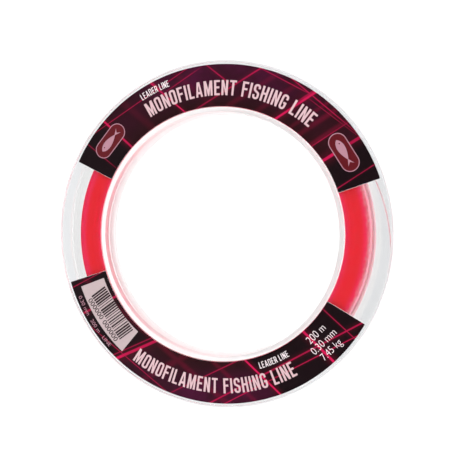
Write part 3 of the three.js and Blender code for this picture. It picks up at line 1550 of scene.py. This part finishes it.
@dataclass
class BlockLettering(Lettering):
    """Tall narrow capitals drawn from straight strokes and round corners, one unit high."""

    cap_units: float = 1.0
    stroke: float = 0.132
    gap: float = 0.115
    space: float = 0.27

    def box(self, x0: float, y0: float, x1: float, y1: float, rounding: Sequence[float]) -> list[Point2]:
        """Give a box with a rounding for each corner.

        Args:
            x0: Left side.
            y0: Bottom.
            x1: Right side.
            y1: Top.
            rounding: The corners' roundings, anticlockwise from the lower left.

        Returns:
            The outline.
        """
        corners = ((x0, y0), (x1, y0), (x1, y1), (x0, y1))
        joined = [(x, y, radius) for (x, y), radius in zip(corners, rounding)]
        return rounded_outline(joined, 5, 9.0)

    def ribbon(self, points: Sequence[Point2]) -> list[Point2]:
        """Give the outline of a stroke with mitred corners.

        Args:
            points: The points that the stroke's middle follows.

        Returns:
            The outline.
        """
        path = [Vector(point) for point in points]
        left, right = [], []
        for index, point in enumerate(path):
            before = (point - path[index - 1]).normalized() if index else None
            after = (path[index + 1] - point).normalized() if index + 1 < len(path) else None
            one, two = before or after, after or before
            normal = Vector((-one.y - two.y, one.x + two.x)).normalized()
            reach = self.stroke / 2 / max(0.4, normal.dot(Vector((-one.y, one.x))))
            left.append(tuple(point + normal * reach))
            right.append(tuple(point - normal * reach))
        return left + right[::-1]

    def bend(self, x: float, y: float, radius: float, start: float, end: float) -> list[Point2]:
        """Give the points of an arc.

        Args:
            x: Middle, across.
            y: Middle, upwards.
            radius: The arc's radius.
            start: The angle that it starts at.
            end: The angle that it ends at.

        Returns:
            Its points.
        """
        steps = 10
        spots = (polar(radius, start + (end - start) * step / steps) for step in range(steps + 1))
        return [(x + dx, y + dy) for dx, dy in spots]

    def glyph(self, letter: str) -> tuple[float, list[list[Point2]]]:
        """Draw a letter.

        Args:
            letter: A capital of the label's words. Any other than the ones listed is drawn as a G.

        Returns:
            Its width and its loops. A loop inside another is a hole.
        """
        t = self.stroke
        h, m, w = t / 2, 0.52, 0.41
        c, r = w / 2, w / 2 - t / 2
        stem = [(0, 0), (t, 0)]
        match letter:
            case "I":
                return t, [[*stem, (t, 1), (0, 1)]]
            case "L":
                return 0.34, [[(0, 0), (0.34, 0), (0.34, t), (t, t), (t, 1), (0, 1)]]
            case "T":
                arms = [(w, 1 - t), (w, 1), (0, 1), (0, 1 - t)]
                return w, [[(c - h, 0), (c + h, 0), (c + h, 1 - t), *arms, (c - h, 1 - t)]]
            case "F" | "E":
                e = 0.36
                foot = stem if letter == "F" else [(0, 0), (e, 0), (e, t), (t, t)]
                arm = [(t, m - h), (0.92 * e, m - h), (0.92 * e, m + h), (t, m + h)]
                return e, [[*foot, *arm, (t, 1 - t), (e, 1 - t), (e, 1), (0, 1)]]
            case "H":
                low = [*stem, (t, m - h), (w - t, m - h), (w - t, 0), (w, 0)]
                return w, [[*low, (w, 1), (w - t, 1), (w - t, m + h), (t, m + h), (t, 1), (0, 1)]]
            case "N":
                low = [*stem, (t, 0.60), (w - t, 0), (w, 0)]
                return w, [[*low, (w, 1), (w - t, 1), (w - t, 0.40), (t, 1), (0, 1)]]
            case "M":
                w, c = 0.54, 0.27
                low = [*stem, (t, 0.58), (c - 0.3 * t, 0), (c + 0.3 * t, 0), (w - t, 0.58), (w - t, 0)]
                return w, [[*low, (w, 0), (w, 1), (w - 1.15 * t, 1), (c, 0.42), (1.15 * t, 1), (0, 1)]]
            case "A":
                w, c = 0.46, 0.23
                bar, top = (t + (c - t) * y / 0.86 for y in (0.20, 0.35))
                legs = [*stem, (bar, 0.20), (w - bar, 0.20), (w - t, 0), (w, 0)]
                hole = [(top, 0.35), (w - top, 0.35), (c, 0.80)]
                return w, [[*legs, (c + 0.62 * t, 1), (c - 0.62 * t, 1)], hole]
            case "O" | "D":
                left = 0.19 if letter == "O" else 0.0
                outer = self.box(0, 0, w, 1, (left, 0.19, 0.19, left))
                left = min(left, 0.08)
                return w, [outer, self.box(t, t, w - t, 1 - t, (left, 0.08, 0.08, left))]
            case "R":
                bowl = [(w - 0.06, 0.47), (w - 0.01, 0.53), *self.bend(w - 0.14, 0.86, 0.14, 0, 90)]
                leg = [(t, 0.42), (0.20, 0.42), (w - t, 0), (w, 0)]
                hole = self.box(t, 0.42 + t, w - t, 1 - t, (0.0, 0.07, 0.07, 0.0))
                return w, [[*stem, *leg, *bowl, (0, 1)], hole]
            case "S":
                top = [(w - h, 0.70), *self.bend(c, 1 - h - r, r, 0, 180)]
                turn = [(h, 0.64), (h + 0.03, 0.57), (w - h - 0.03, 0.43), (w - h, 0.36)]
                return w, [self.ribbon([*top, *turn, *self.bend(c, h + r, r, 0, -180), (h, 0.30)])]
            case _:
                top = [(w - h, 0.68), *self.bend(c, 1 - h - r, r, 0, 180)]
                foot = [*self.bend(c, h + r, r, 180, 360), (w - h, 0.44), (c, 0.44)]
                return w, [self.ribbon([*top, *foot])]

    def curve(self) -> bpy.types.Curve:
        """Set the letters side by side in one filled flat curve.

        Returns:
            The curve.
        """
        curve = bpy.data.curves.new("lettering", "CURVE")
        curve.dimensions = "2D"
        curve.fill_mode = "BOTH"
        at = 0.0
        for letter in self.text:
            if letter == " ":
                at += self.space
                continue
            width, loops = self.glyph(letter)
            for loop in loops:
                spline = curve.splines.new("POLY")
                spline.points.add(len(loop) - 1)
                for point, (x, y) in zip(spline.points, loop):
                    point.co = (at + x, y, 0.0, 1.0)
                spline.use_cyclic_u = True
            at += width + self.gap
        return curve


@dataclass
class ArcLabel:
    """A curved label: its film and what is printed on it."""

    node: str
    name: str
    span: Point2
    print_finish: LabelPrint
    inner: float = 44.2
    outer: float = 58.7
    corner: float = 0.3
    ink: float = 0.022
    columns: int = 200
    margin: float = 0.04
    badge_line: float = 0.3

    def __post_init__(self) -> None:
        """Read the film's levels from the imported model."""
        low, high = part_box(self.node)
        self.low, self.high = low.z / MM, high.z / MM
        self.ink_low = self.high - 0.004

    def film(self) -> None:
        """Build the film as a grid whose rows draw in at the rounded corners."""
        rows = [0.0, 0.12, 0.3, 0.55, 0.9]
        width = self.outer - self.inner
        radii = [self.inner + row for row in rows] + [self.inner + width / 2]
        radii += [self.outer - row for row in reversed(rows)]
        bm = bmesh.new()
        layers: list[list[list[Any]]] = []
        for height in (self.high, self.low):
            grid = []
            for radius in radii:
                cut = corner_cut(self.corner, min(radius - self.inner, self.outer - radius))
                inset = math.degrees(cut / radius)
                start, end = self.span[0] + inset, self.span[1] - inset
                bare = math.degrees(self.margin / radius)
                inner_steps = self.columns - 2
                turns = [start, end]
                for column in range(inner_steps + 1):
                    turns.insert(-1, start + bare + (end - start - 2 * bare) * column / inner_steps)
                grid.append([bm.verts.new((*polar(radius, turn), height)) for turn in turns])
            layers.append(grid)
        top, bottom = layers
        for row in range(len(radii) - 1):
            for column in range(self.columns):
                quad = ((row, column), (row + 1, column), (row + 1, column + 1), (row, column + 1))
                face = bm.faces.new([top[r][c] for r, c in quad])
                face.material_index = int(column in (0, self.columns - 1))
                bm.faces.new([bottom[r][c] for r, c in reversed(quad)]).material_index = 1
        border = [(0, c) for c in range(self.columns)]
        border += [(r, self.columns) for r in range(len(radii) - 1)]
        border += [(len(radii) - 1, c) for c in range(self.columns, 0, -1)]
        border += [(r, 0) for r in range(len(radii) - 1, 0, -1)]
        for (r0, c0), (r1, c1) in zip(border, border[1:] + border[:1]):
            face = bm.faces.new((top[r0][c0], top[r1][c1], bottom[r1][c1], bottom[r0][c0]))
            face.material_index = 1
        bmesh.ops.recalc_face_normals(bm, faces=bm.faces)
        film = place(f"{self.name}_film", mesh_from_bmesh(f"{self.name}_film", bm), smooth_deg=30)
        film.data.materials.append(self.print_finish.material())
        film.data.materials.append(LABEL_BACK.material())
        settle(film, "label_film", self.node)

    def lay(self, mesh: bpy.types.Mesh, name: str, finish: Finish, move: Move) -> None:
        """Lay flat lettering on the film and dress it.

        Args:
            mesh: The lettering, in millimetres.
            name: The piece's name after the label's own.
            finish: Its ink.
            move: Takes a point of the flat lettering to its place on the label.
        """
        for vertex in mesh.vertices:
            x, y, z = vertex.co
            vertex.co = Vector((*move(x, y), self.ink_low + z)) * MM
        bm = bmesh.new()
        bm.from_mesh(mesh)
        bmesh.ops.remove_doubles(bm, verts=bm.verts, dist=1e-7)
        bmesh.ops.recalc_face_normals(bm, faces=bm.faces)
        bm.to_mesh(mesh)
        bm.free()
        piece = place(f"{self.name}_{name}", mesh)
        piece.data.materials.append(finish.material())
        settle(piece, "label_ink")

    def bent(self, radius: float, middle: float, reading: Reading) -> Move:
        """Give the move that bends flat lettering round the ring.

        Args:
            radius: Radius of the line that the lettering stands on.
            middle: The angle of the lettering's middle.
            reading: Which way the tops point.

        Returns:
            A function from flat points to places on the label.
        """
        sign = reading.value

        def move(x: float, y: float) -> Point2:
            """Take a flat point to its place on the ring."""
            return polar(radius + sign * y, middle - sign * math.degrees(x / radius))

        return move

    def straight(self, radius: float, middle: float, reading: Reading) -> Move:
        """Give the move that turns flat lettering square to a radius and leaves it straight.

        Args:
            radius: Radius of the lettering's foot, at its middle.
            middle: The angle of its middle.
            reading: Which way the tops point.

        Returns:
            A function from flat points to places on the label.
        """
        sign = reading.value
        centre = Vector(polar(radius, middle))
        out = Vector(polar(1.0, middle)) * sign
        along = Vector((out.y, -out.x))

        def move(x: float, y: float) -> Point2:
            """Take a flat point to its place on the label."""
            spot = centre + along * x + out * y
            return spot.x, spot.y

        return move

    def badge(self, name: str, radius: float, middle: float, reading: Reading, size: Point2) -> None:
        """Build a generic badge: a round-ended plaque with a plain fish.

        Args:
            name: The piece's name after the label's own.
            radius: Radius of its middle.
            middle: Angle of its middle.
            reading: Which way its top points.
            size: Its length and height.
        """
        move = self.straight(radius, middle, reading)
        length, height = size

        def capsule(shrink: float) -> list[Point2]:
            """Give a round-ended outline.

            Args:
                shrink: The border that it is smaller by.

            Returns:
                The outline.
            """
            end_r = height / 2 - shrink
            reach = length / 2 - height / 2
            return [
                (side * reach + x, y)
                for side, start in ((1, -90), (-1, 90))
                for x, y in (polar(end_r, start + 180 * step / 16) for step in range(17))
            ]

        bm = bmesh.new()
        layers = ((capsule(0.0), 0), (capsule(self.badge_line), 1))
        low = self.ink_low
        for level, (outline, finish) in enumerate(layers):
            prism(bm, [move(x, y) for x, y in outline], low, low + self.ink * (level + 1), finish)
        top = low + self.ink * 3
        prism(bm, [move(x, y) for x, y in self.fish(0.34 * length, 0.22 * height)], low, top, 0)
        eye = [polar(0.24, 45 * corner) for corner in range(8)]
        eye_x = -0.23 * length
        prism(bm, [move(x + eye_x, y + 0.25) for x, y in eye], low, top + self.ink, 1)
        bmesh.ops.recalc_face_normals(bm, faces=bm.faces)
        piece = place(f"{self.name}_{name}", mesh_from_bmesh(name, bm))
        piece.data.materials.append(DIM_INK.material())
        piece.data.materials.append(BADGE_GROUND.material())
        settle(piece, "label_ink")

    @staticmethod
    def fish(half_length: float, half_height: float) -> list[Point2]:
        """Give a plain fish outline: a rounded body that narrows to a forked tail.

        Args:
            half_length: Half its length.
            half_height: Half its height.

        Returns:
            The outline.
        """
        top, steps = [], 18
        for step in range(steps + 1):
            along = step / steps
            body = math.sin(math.pi * min(along / 0.8, 1.0) ** 0.75) ** 0.9
            tail = 0.85 * max(0.0, (along - 0.74) / 0.26) ** 1.2
            x = half_length * (2 * along - 1)
            top.append((x, half_height * max(body, tail, 0.02)))
        fork = (half_length * 0.78, 0.0)
        lower = [(x, -y) for x, y in top]
        return lower + [fork] + top[::-1]


@dataclass
class UpperLabel(ArcLabel):
    """The upper label: a long title, a short line above it and a badge at each end."""

    def build(self) -> None:
        """Build the film and its print."""
        self.film()
        title = BlockLettering("MONOFILAMENT FISHING LINE", capital=5.2, width=60.4)
        self.lay(title.outline_mesh(self.ink), "title", INK, self.bent(48.0, 84.8, Reading.TOPS_OUT))
        strap = BlockLettering("LEADER LINE", capital=2.3, width=11.1, stroke=0.108, gap=0.135)
        move = self.bent(54.7, 114.6, Reading.TOPS_OUT)
        self.lay(strap.outline_mesh(self.ink), "strapline", WHITE_INK, move)
        self.badge("badge_left", 52.1, 140.4, Reading.TOPS_OUT, (14.2, 6.3))
        self.badge("badge_right", 51.6, 32.2, Reading.TOPS_OUT, (14.2, 6.3))


@dataclass
class LowerLabel(ArcLabel):
    """The lower label: a title, a short line, the line's figures and a bar code panel."""

    bar_middle: float = -144.3
    panel: tuple[Point2, Point2] = ((45.75, 55.3), (-159.6, -130.4))
    bar_pitch: float = 0.88
    bar_count: int = 22
    bar_reach: Point2 = (45.6, 52.0)
    bar_widths: Point2 = (0.18, 0.70)
    bar_seed: int = 3
    panel_steps: int = 30

    def build(self) -> None:
        """Build the film and its print."""
        self.film()
        title = BlockLettering("MONOFILAMENT FISHING LINE", capital=5.2, width=63.6)
        self.lay(title.outline_mesh(self.ink), "title", INK, self.bent(55.1, -92.1, Reading.TOPS_IN))
        strap = BlockLettering("LEADER LINE", capital=2.2, width=11.3, stroke=0.108, gap=0.135)
        move = self.bent(48.3, -64.9, Reading.TOPS_IN)
        self.lay(strap.outline_mesh(self.ink), "strapline", WHITE_INK, move)
        figures = (("200 m", 49.0, 7.6), ("0.30 mm", 52.6, 10.6), ("7.45 kg", 56.2, 8.6))
        for index, (text, radius, width) in enumerate(figures):
            lettering = Lettering(text, capital=2.5, width=width, weight=-0.014)
            move = self.straight(radius, -43.9, Reading.TOPS_IN)
            self.lay(lettering.outline_mesh(self.ink), f"figure_{index}", WHITE_INK, move)
        edge = Lettering("0.30 mm   200 m   LINE", capital=1.35, width=21.5, weight=-0.004)
        move = self.bent(57.7, -145.8, Reading.TOPS_IN)
        self.lay(edge.outline_mesh(self.ink), "edge_line", DIM_INK, move)
        self.bar_code()

    def bar_tree(self) -> GeometryTree:
        """Build the tree for a row of bars of mixed widths.

        Returns:
            The tree.
        """
        tree = GeometryTree("row_of_bars")
        pitch, length, thickness, narrow, wide = (
            tree.input(name) for name in ("Pitch", "Length", "Thickness", "Narrow", "Wide")
        )
        count, seed = (tree.input(name, "Int") for name in ("Count", "Seed"))
        material = tree.input("Material", "Material")
        row = tree.node("MeshLine", {"Count": count, "Offset": tree.vector(pitch, 0.0, 0.0)})
        shift = tree.math("MULTIPLY", pitch, 0.13)
        spread = tree.node(
            "FunctionNodeRandomValue", {2: tree.math("MULTIPLY", shift, -1.0), 3: shift, "Seed": seed}
        )
        spots = tree.node(
            "SetPosition", {"Geometry": row.outputs[0], "Offset": tree.vector(spread.outputs[1], 0.0, 0.0)}
        )
        bar = tree.node("MeshCube", {"Size": (1.0, 1.0, 1.0)})
        width = tree.node("FunctionNodeRandomValue", {2: narrow, 3: wide, "Seed": seed}).outputs[1]
        bars = tree.node(
            "InstanceOnPoints",
            {
                "Points": spots.outputs[0],
                "Instance": bar.outputs[0],
                "Scale": tree.vector(width, length, thickness),
            },
        )
        tree.finish(bars.outputs[0], material)
        return tree

    def bar_code(self) -> None:
        """Build the pale panel, a row of bars that stands for no number, and plain figures."""
        (inner, outer), (start, end) = self.panel
        steps = self.panel_steps
        turns = [start + (end - start) * step / steps for step in range(steps + 1)]
        outline = [polar(outer, turn) for turn in turns] + [polar(inner, turn) for turn in reversed(turns)]
        bm = bmesh.new()
        prism(bm, outline, self.ink_low, self.ink_low + self.ink)
        bmesh.ops.recalc_face_normals(bm, faces=bm.faces)
        panel = place(f"{self.name}_panel", mesh_from_bmesh("panel", bm))
        panel.data.materials.append(PANEL_INK.material())
        settle(panel, "label_ink")
        bar_in, bar_out = self.bar_reach
        bars = self.bar_tree().made(
            f"{self.name}_bars",
            {
                "Pitch": self.bar_pitch * MM,
                "Length": (bar_out - bar_in) * MM,
                "Thickness": 2 * self.ink * MM,
                "Narrow": self.bar_widths[0] * MM,
                "Wide": self.bar_widths[1] * MM,
                "Count": self.bar_count,
                "Seed": self.bar_seed,
                "Material": BAR_INK.material(),
            },
        )
        move = self.straight((bar_in + bar_out) / 2, self.bar_middle, Reading.TOPS_IN)
        half_row = self.bar_pitch * (self.bar_count - 1) / 2
        for vertex in bars.data.vertices:
            x, y, z = vertex.co / MM
            spot = move(x - half_row, y)
            vertex.co = Vector((*spot, self.ink_low + self.ink + z)) * MM
        bars.data.polygons.foreach_set("use_smooth", [False] * len(bars.data.polygons))
        settle(bars, "label_ink")
        figures = Lettering("000000 000000", capital=1.8, width=18.0, weight=0.006)
        mesh = figures.outline_mesh(2 * self.ink)
        self.lay(mesh, "bar_figures", BAR_INK, self.straight(54.1, self.bar_middle, Reading.TOPS_IN))


LEFT, RIGHT = (-80.0, 0.0), (0.0, 80.0)

UPPER_STREAKS = (
    Streak(-41.0, 2.4, 0.7, 1.0, LEFT),
    Streak(31.5, 2.0, 1.0, 0.95, RIGHT),
    Streak(31.5, 22.8, 0.75, 0.9, RIGHT),
    Streak(31.5, 23.2, 1.3, 0.5, (44.0, 80.0)),
    Streak(-39.5, 25.3, 0.42, 0.85, LEFT),
    Streak(-39.5, 25.6, 0.9, 0.5, (-80.0, -46.0)),
    Streak(31.5, 55.0, 0.18, 0.7),
    Streak(-38.0, -4.8, 0.25, 0.4, LEFT),
    Streak(-38.5, 43.3, 0.4, 0.6, (-80.0, -26.0)),
    Streak(31.5, 52.5, 0.35, 0.4, (8.0, 27.0)),
    Streak(29.5, 41.7, 0.5, 0.6, (12.0, 80.0)),
    Streak(-29.0, 56.9, 0.3, 0.5, (-24.0, 8.0)),
    Streak(-40.5, 56.9, 0.25, 0.75, (-22.0, 80.0)),
    Streak(-38.0, 55.6, 0.2, 0.5, (-6.0, 80.0)),
    Streak(32.5, -9.2, 0.22, 0.85, RIGHT),
    Streak(32.0, 7.8, 0.3, 0.6, (34.0, 80.0)),
    Streak(32.0, 8.4, 1.6, 0.16, (34.0, 80.0), 0.9),
    Streak(32.0, 13.6, 1.6, 0.14, (28.0, 80.0), 0.9),
    Streak(31.0, 18.0, 1.2, 0.12, (36.0, 80.0), 0.9),
    Streak(31.0, 29.0, 1.6, 0.07, (26.0, 80.0), 0.9),
    Streak(30.0, 36.5, 1.6, 0.08, (20.0, 80.0), 0.9),
    Streak(-40.0, 33.0, 1.6, 0.05, LEFT, 0.9),
    Streak(-39.0, 14.0, 2.2, 0.04, LEFT, 0.9),
)

LOWER_STREAKS = (
    Streak(27.0, -2.7, 0.75, 0.9, LEFT),
    Streak(-41.5, -25.8, 0.6, 0.95, RIGHT),
    Streak(24.5, -25.0, 1.0, 0.95, LEFT),
    Streak(24.5, -23.4, 0.4, 0.5, LEFT),
    Streak(-43.0, -3.2, 0.8, 1.0, RIGHT),
    Streak(27.0, 7.5, 0.22, 0.75, LEFT),
    Streak(-37.0, -55.8, 0.24, 0.75),
    Streak(31.0, -37.2, 1.4, 0.18, RIGHT, 0.8),
    Streak(29.5, -49.7, 0.5, 0.6),
    Streak(-41.5, 5.9, 0.25, 0.65, RIGHT),
    Streak(29.0, -52.5, 0.24, 0.85),
    Streak(27.0, -42.0, 0.35, 0.5, LEFT),
    Streak(-38.0, -44.0, 1.8, 0.10, softness=0.9),
    Streak(30.0, -31.0, 2.0, 0.10, LEFT, 0.9),
    Streak(-40.0, -35.0, 1.4, 0.10, RIGHT, 0.8),
)


# ---------------------------------------------------------------------------------------------
# The studio
# ---------------------------------------------------------------------------------------------


@dataclass(frozen=True)
class StudioPaper(Finish):
    """White studio paper, lit through from behind."""

    glow: float = 0.6
    paper: float = 0.94

    def surface(self, shading: Shading) -> Any:
        """Build matt paper with a barely visible tone and a soft glow.

        Args:
            shading: The material's nodes.

        Returns:
            The surface shader's socket.
        """
        tone = shading.noise(shading.place_coordinates(), 3.0, 2.0)
        light = shading.mix(tone, (0.98, 0.98, 0.98), (1.0, 1.0, 1.0))
        colour = shading.mix(self.paper, (0.0, 0.0, 0.0), light)
        paper = shading.node(
            "BsdfPrincipled",
            {
                "Base Color": colour,
                "Roughness": 0.9,
                "Specular IOR Level": 0.0,
                "Emission Color": light,
                "Emission Strength": self.glow,
            },
        )
        return paper.outputs[0]


@dataclass
class Studio:
    """The floor, the soft lamps and the camera."""

    yaw_deg: float = 17.01
    pitch_deg: float = 1.39
    distance: float = 0.310
    lens: float = 70.2
    shift: Point2 = (0.0273, 0.0098)
    floor_half: float = 3.0
    floor_drop: float = 0.0001
    floor_glow: float = 1.0
    floor_paper: float = 0.12
    wall_r: float = 1.5
    wall_height: float = 1.8
    wall_glow: float = 0.9
    lamp_distance: float = 0.9
    lamp_size: float = 0.5
    lamp_height_deg: float = 38.0
    lamp_power: float = 1.82
    world_fill: float = 0.16
    world_through: float = 0.42

    def floor(self) -> None:
        """Lay the paper just under the spool."""
        bm = bmesh.new()
        half = self.floor_half
        signs = ((-1, -1), (1, -1), (1, 1), (-1, 1))
        bm.faces.new([bm.verts.new((x * half, y * half, -self.floor_drop)) for x, y in signs])
        floor = place("studio_floor", mesh_from_bmesh("studio_floor", bm, unit=1.0))
        paper = StudioPaper("studio_paper", self.floor_glow, self.floor_paper)
        floor.data.materials.append(paper.material())
        floor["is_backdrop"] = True

    def wall(self) -> None:
        """Stand a round white wall far outside the spool, open above."""
        bm = bmesh.new()
        steps = 96
        rings = []
        for step in range(steps):
            x, y = polar(self.wall_r, 360 * step / steps)
            rings.append((bm.verts.new((x, y, 0.0)), bm.verts.new((x, y, self.wall_height))))
        for here, there in zip(rings, rings[1:] + rings[:1]):
            bm.faces.new((here[0], here[1], there[1], there[0]))
        wall = place("studio_wall", mesh_from_bmesh("studio_wall", bm, unit=1.0), smooth_deg=30)
        wall.data.materials.append(StudioPaper("studio_wall", self.wall_glow).material())
        wall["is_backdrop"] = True

    def lamps(self) -> None:
        """Put a large soft lamp on each side, clear of what the label mirrors to the camera."""
        for index, turn in enumerate((20.0, 110.0, 200.0, 290.0)):
            lamp = bpy.data.lights.new(f"softbox_{index}", "AREA")
            lamp.shape, lamp.size, lamp.energy = "SQUARE", self.lamp_size, self.lamp_power
            holder = bpy.data.objects.new(f"softbox_{index}", lamp)
            height = math.radians(self.lamp_height_deg)
            x, y = polar(self.lamp_distance * math.cos(height), turn)
            holder.location = (x, y, self.lamp_distance * math.sin(height))
            holder.rotation_euler = (-holder.location).to_track_quat("-Z", "Y").to_euler()
            bpy.context.scene.collection.objects.link(holder)

    def world(self) -> None:
        """Fill the room with a dim even light that is white to the camera and through clear plastic."""
        world = bpy.data.worlds.new("studio")
        world.use_nodes = True
        world.node_tree.nodes.clear()
        shading = Shading(world.node_tree)
        path = shading.node("LightPath").outputs
        through = shading.math("MULTIPLY", path["Is Transmission Ray"], self.world_through)
        seen = shading.math("MAXIMUM", path["Is Camera Ray"], through)
        strength = shading.span(seen, 0.0, 1.0, self.world_fill, 1.0)
        light = shading.node("Background", {"Color": (1.0, 1.0, 1.0, 1.0), "Strength": strength})
        shading.node("OutputWorld", {"Surface": light.outputs[0]})
        bpy.context.scene.world = world

    def camera(self) -> None:
        """Put the camera above the spool, a little to one side of its axis."""
        yaw, pitch = math.radians(self.yaw_deg), math.radians(self.pitch_deg)
        back = Vector((math.sin(yaw) * math.cos(pitch), math.sin(pitch), math.cos(yaw) * math.cos(pitch)))
        right = Vector((math.cos(yaw), 0.0, -math.sin(yaw)))
        up = back.cross(right)
        front_centre = Vector((0.0, 0.0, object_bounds()[1][2]))
        place_at = front_centre + back * self.distance
        data = bpy.data.cameras.new("camera")
        data.lens, data.sensor_width = self.lens, 36.0
        data.shift_x, data.shift_y = self.shift
        camera = bpy.data.objects.new("camera", data)
        turned = Matrix((right, up, back)).transposed().to_4x4()
        camera.matrix_world = Matrix.Translation(place_at) @ turned
        bpy.context.scene.collection.objects.link(camera)
        bpy.context.scene.camera = camera

    def build(self) -> None:
        """Set up the studio."""
        bpy.context.scene.view_settings.view_transform = "Standard"
        self.camera()
        self.floor()
        self.wall()
        self.lamps()
        self.world()


# ---------------------------------------------------------------------------------------------
# Assembly
# ---------------------------------------------------------------------------------------------


def main() -> None:
    """Build the studio and the spool, piece by piece."""
    logging.basicConfig(level=logging.INFO, format="%(name)s: %(message)s")
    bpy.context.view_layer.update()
    Studio().build()
    LineTail().build()
    RearHalf("rear_half", "rear_moulding", plastic=REAR_PLASTIC).build()
    FrontHalf("front_half", "front_moulding").build()
    LineWinding().build()
    AnchorTape().build()
    upper = LabelPrint("upper_print", streaks=UPPER_STREAKS, bounds=(0, 1))
    lower = LabelPrint("lower_print", streaks=LOWER_STREAKS, bounds=(1, 2), warm_side=-1.0)
    UpperLabel("upper_label", "upper_label", (18.6, 153.8), upper).build()
    LowerLabel("lower_label", "lower_label", (-162.5, -29.9), lower).build()


if __name__ == "__main__":
    main()
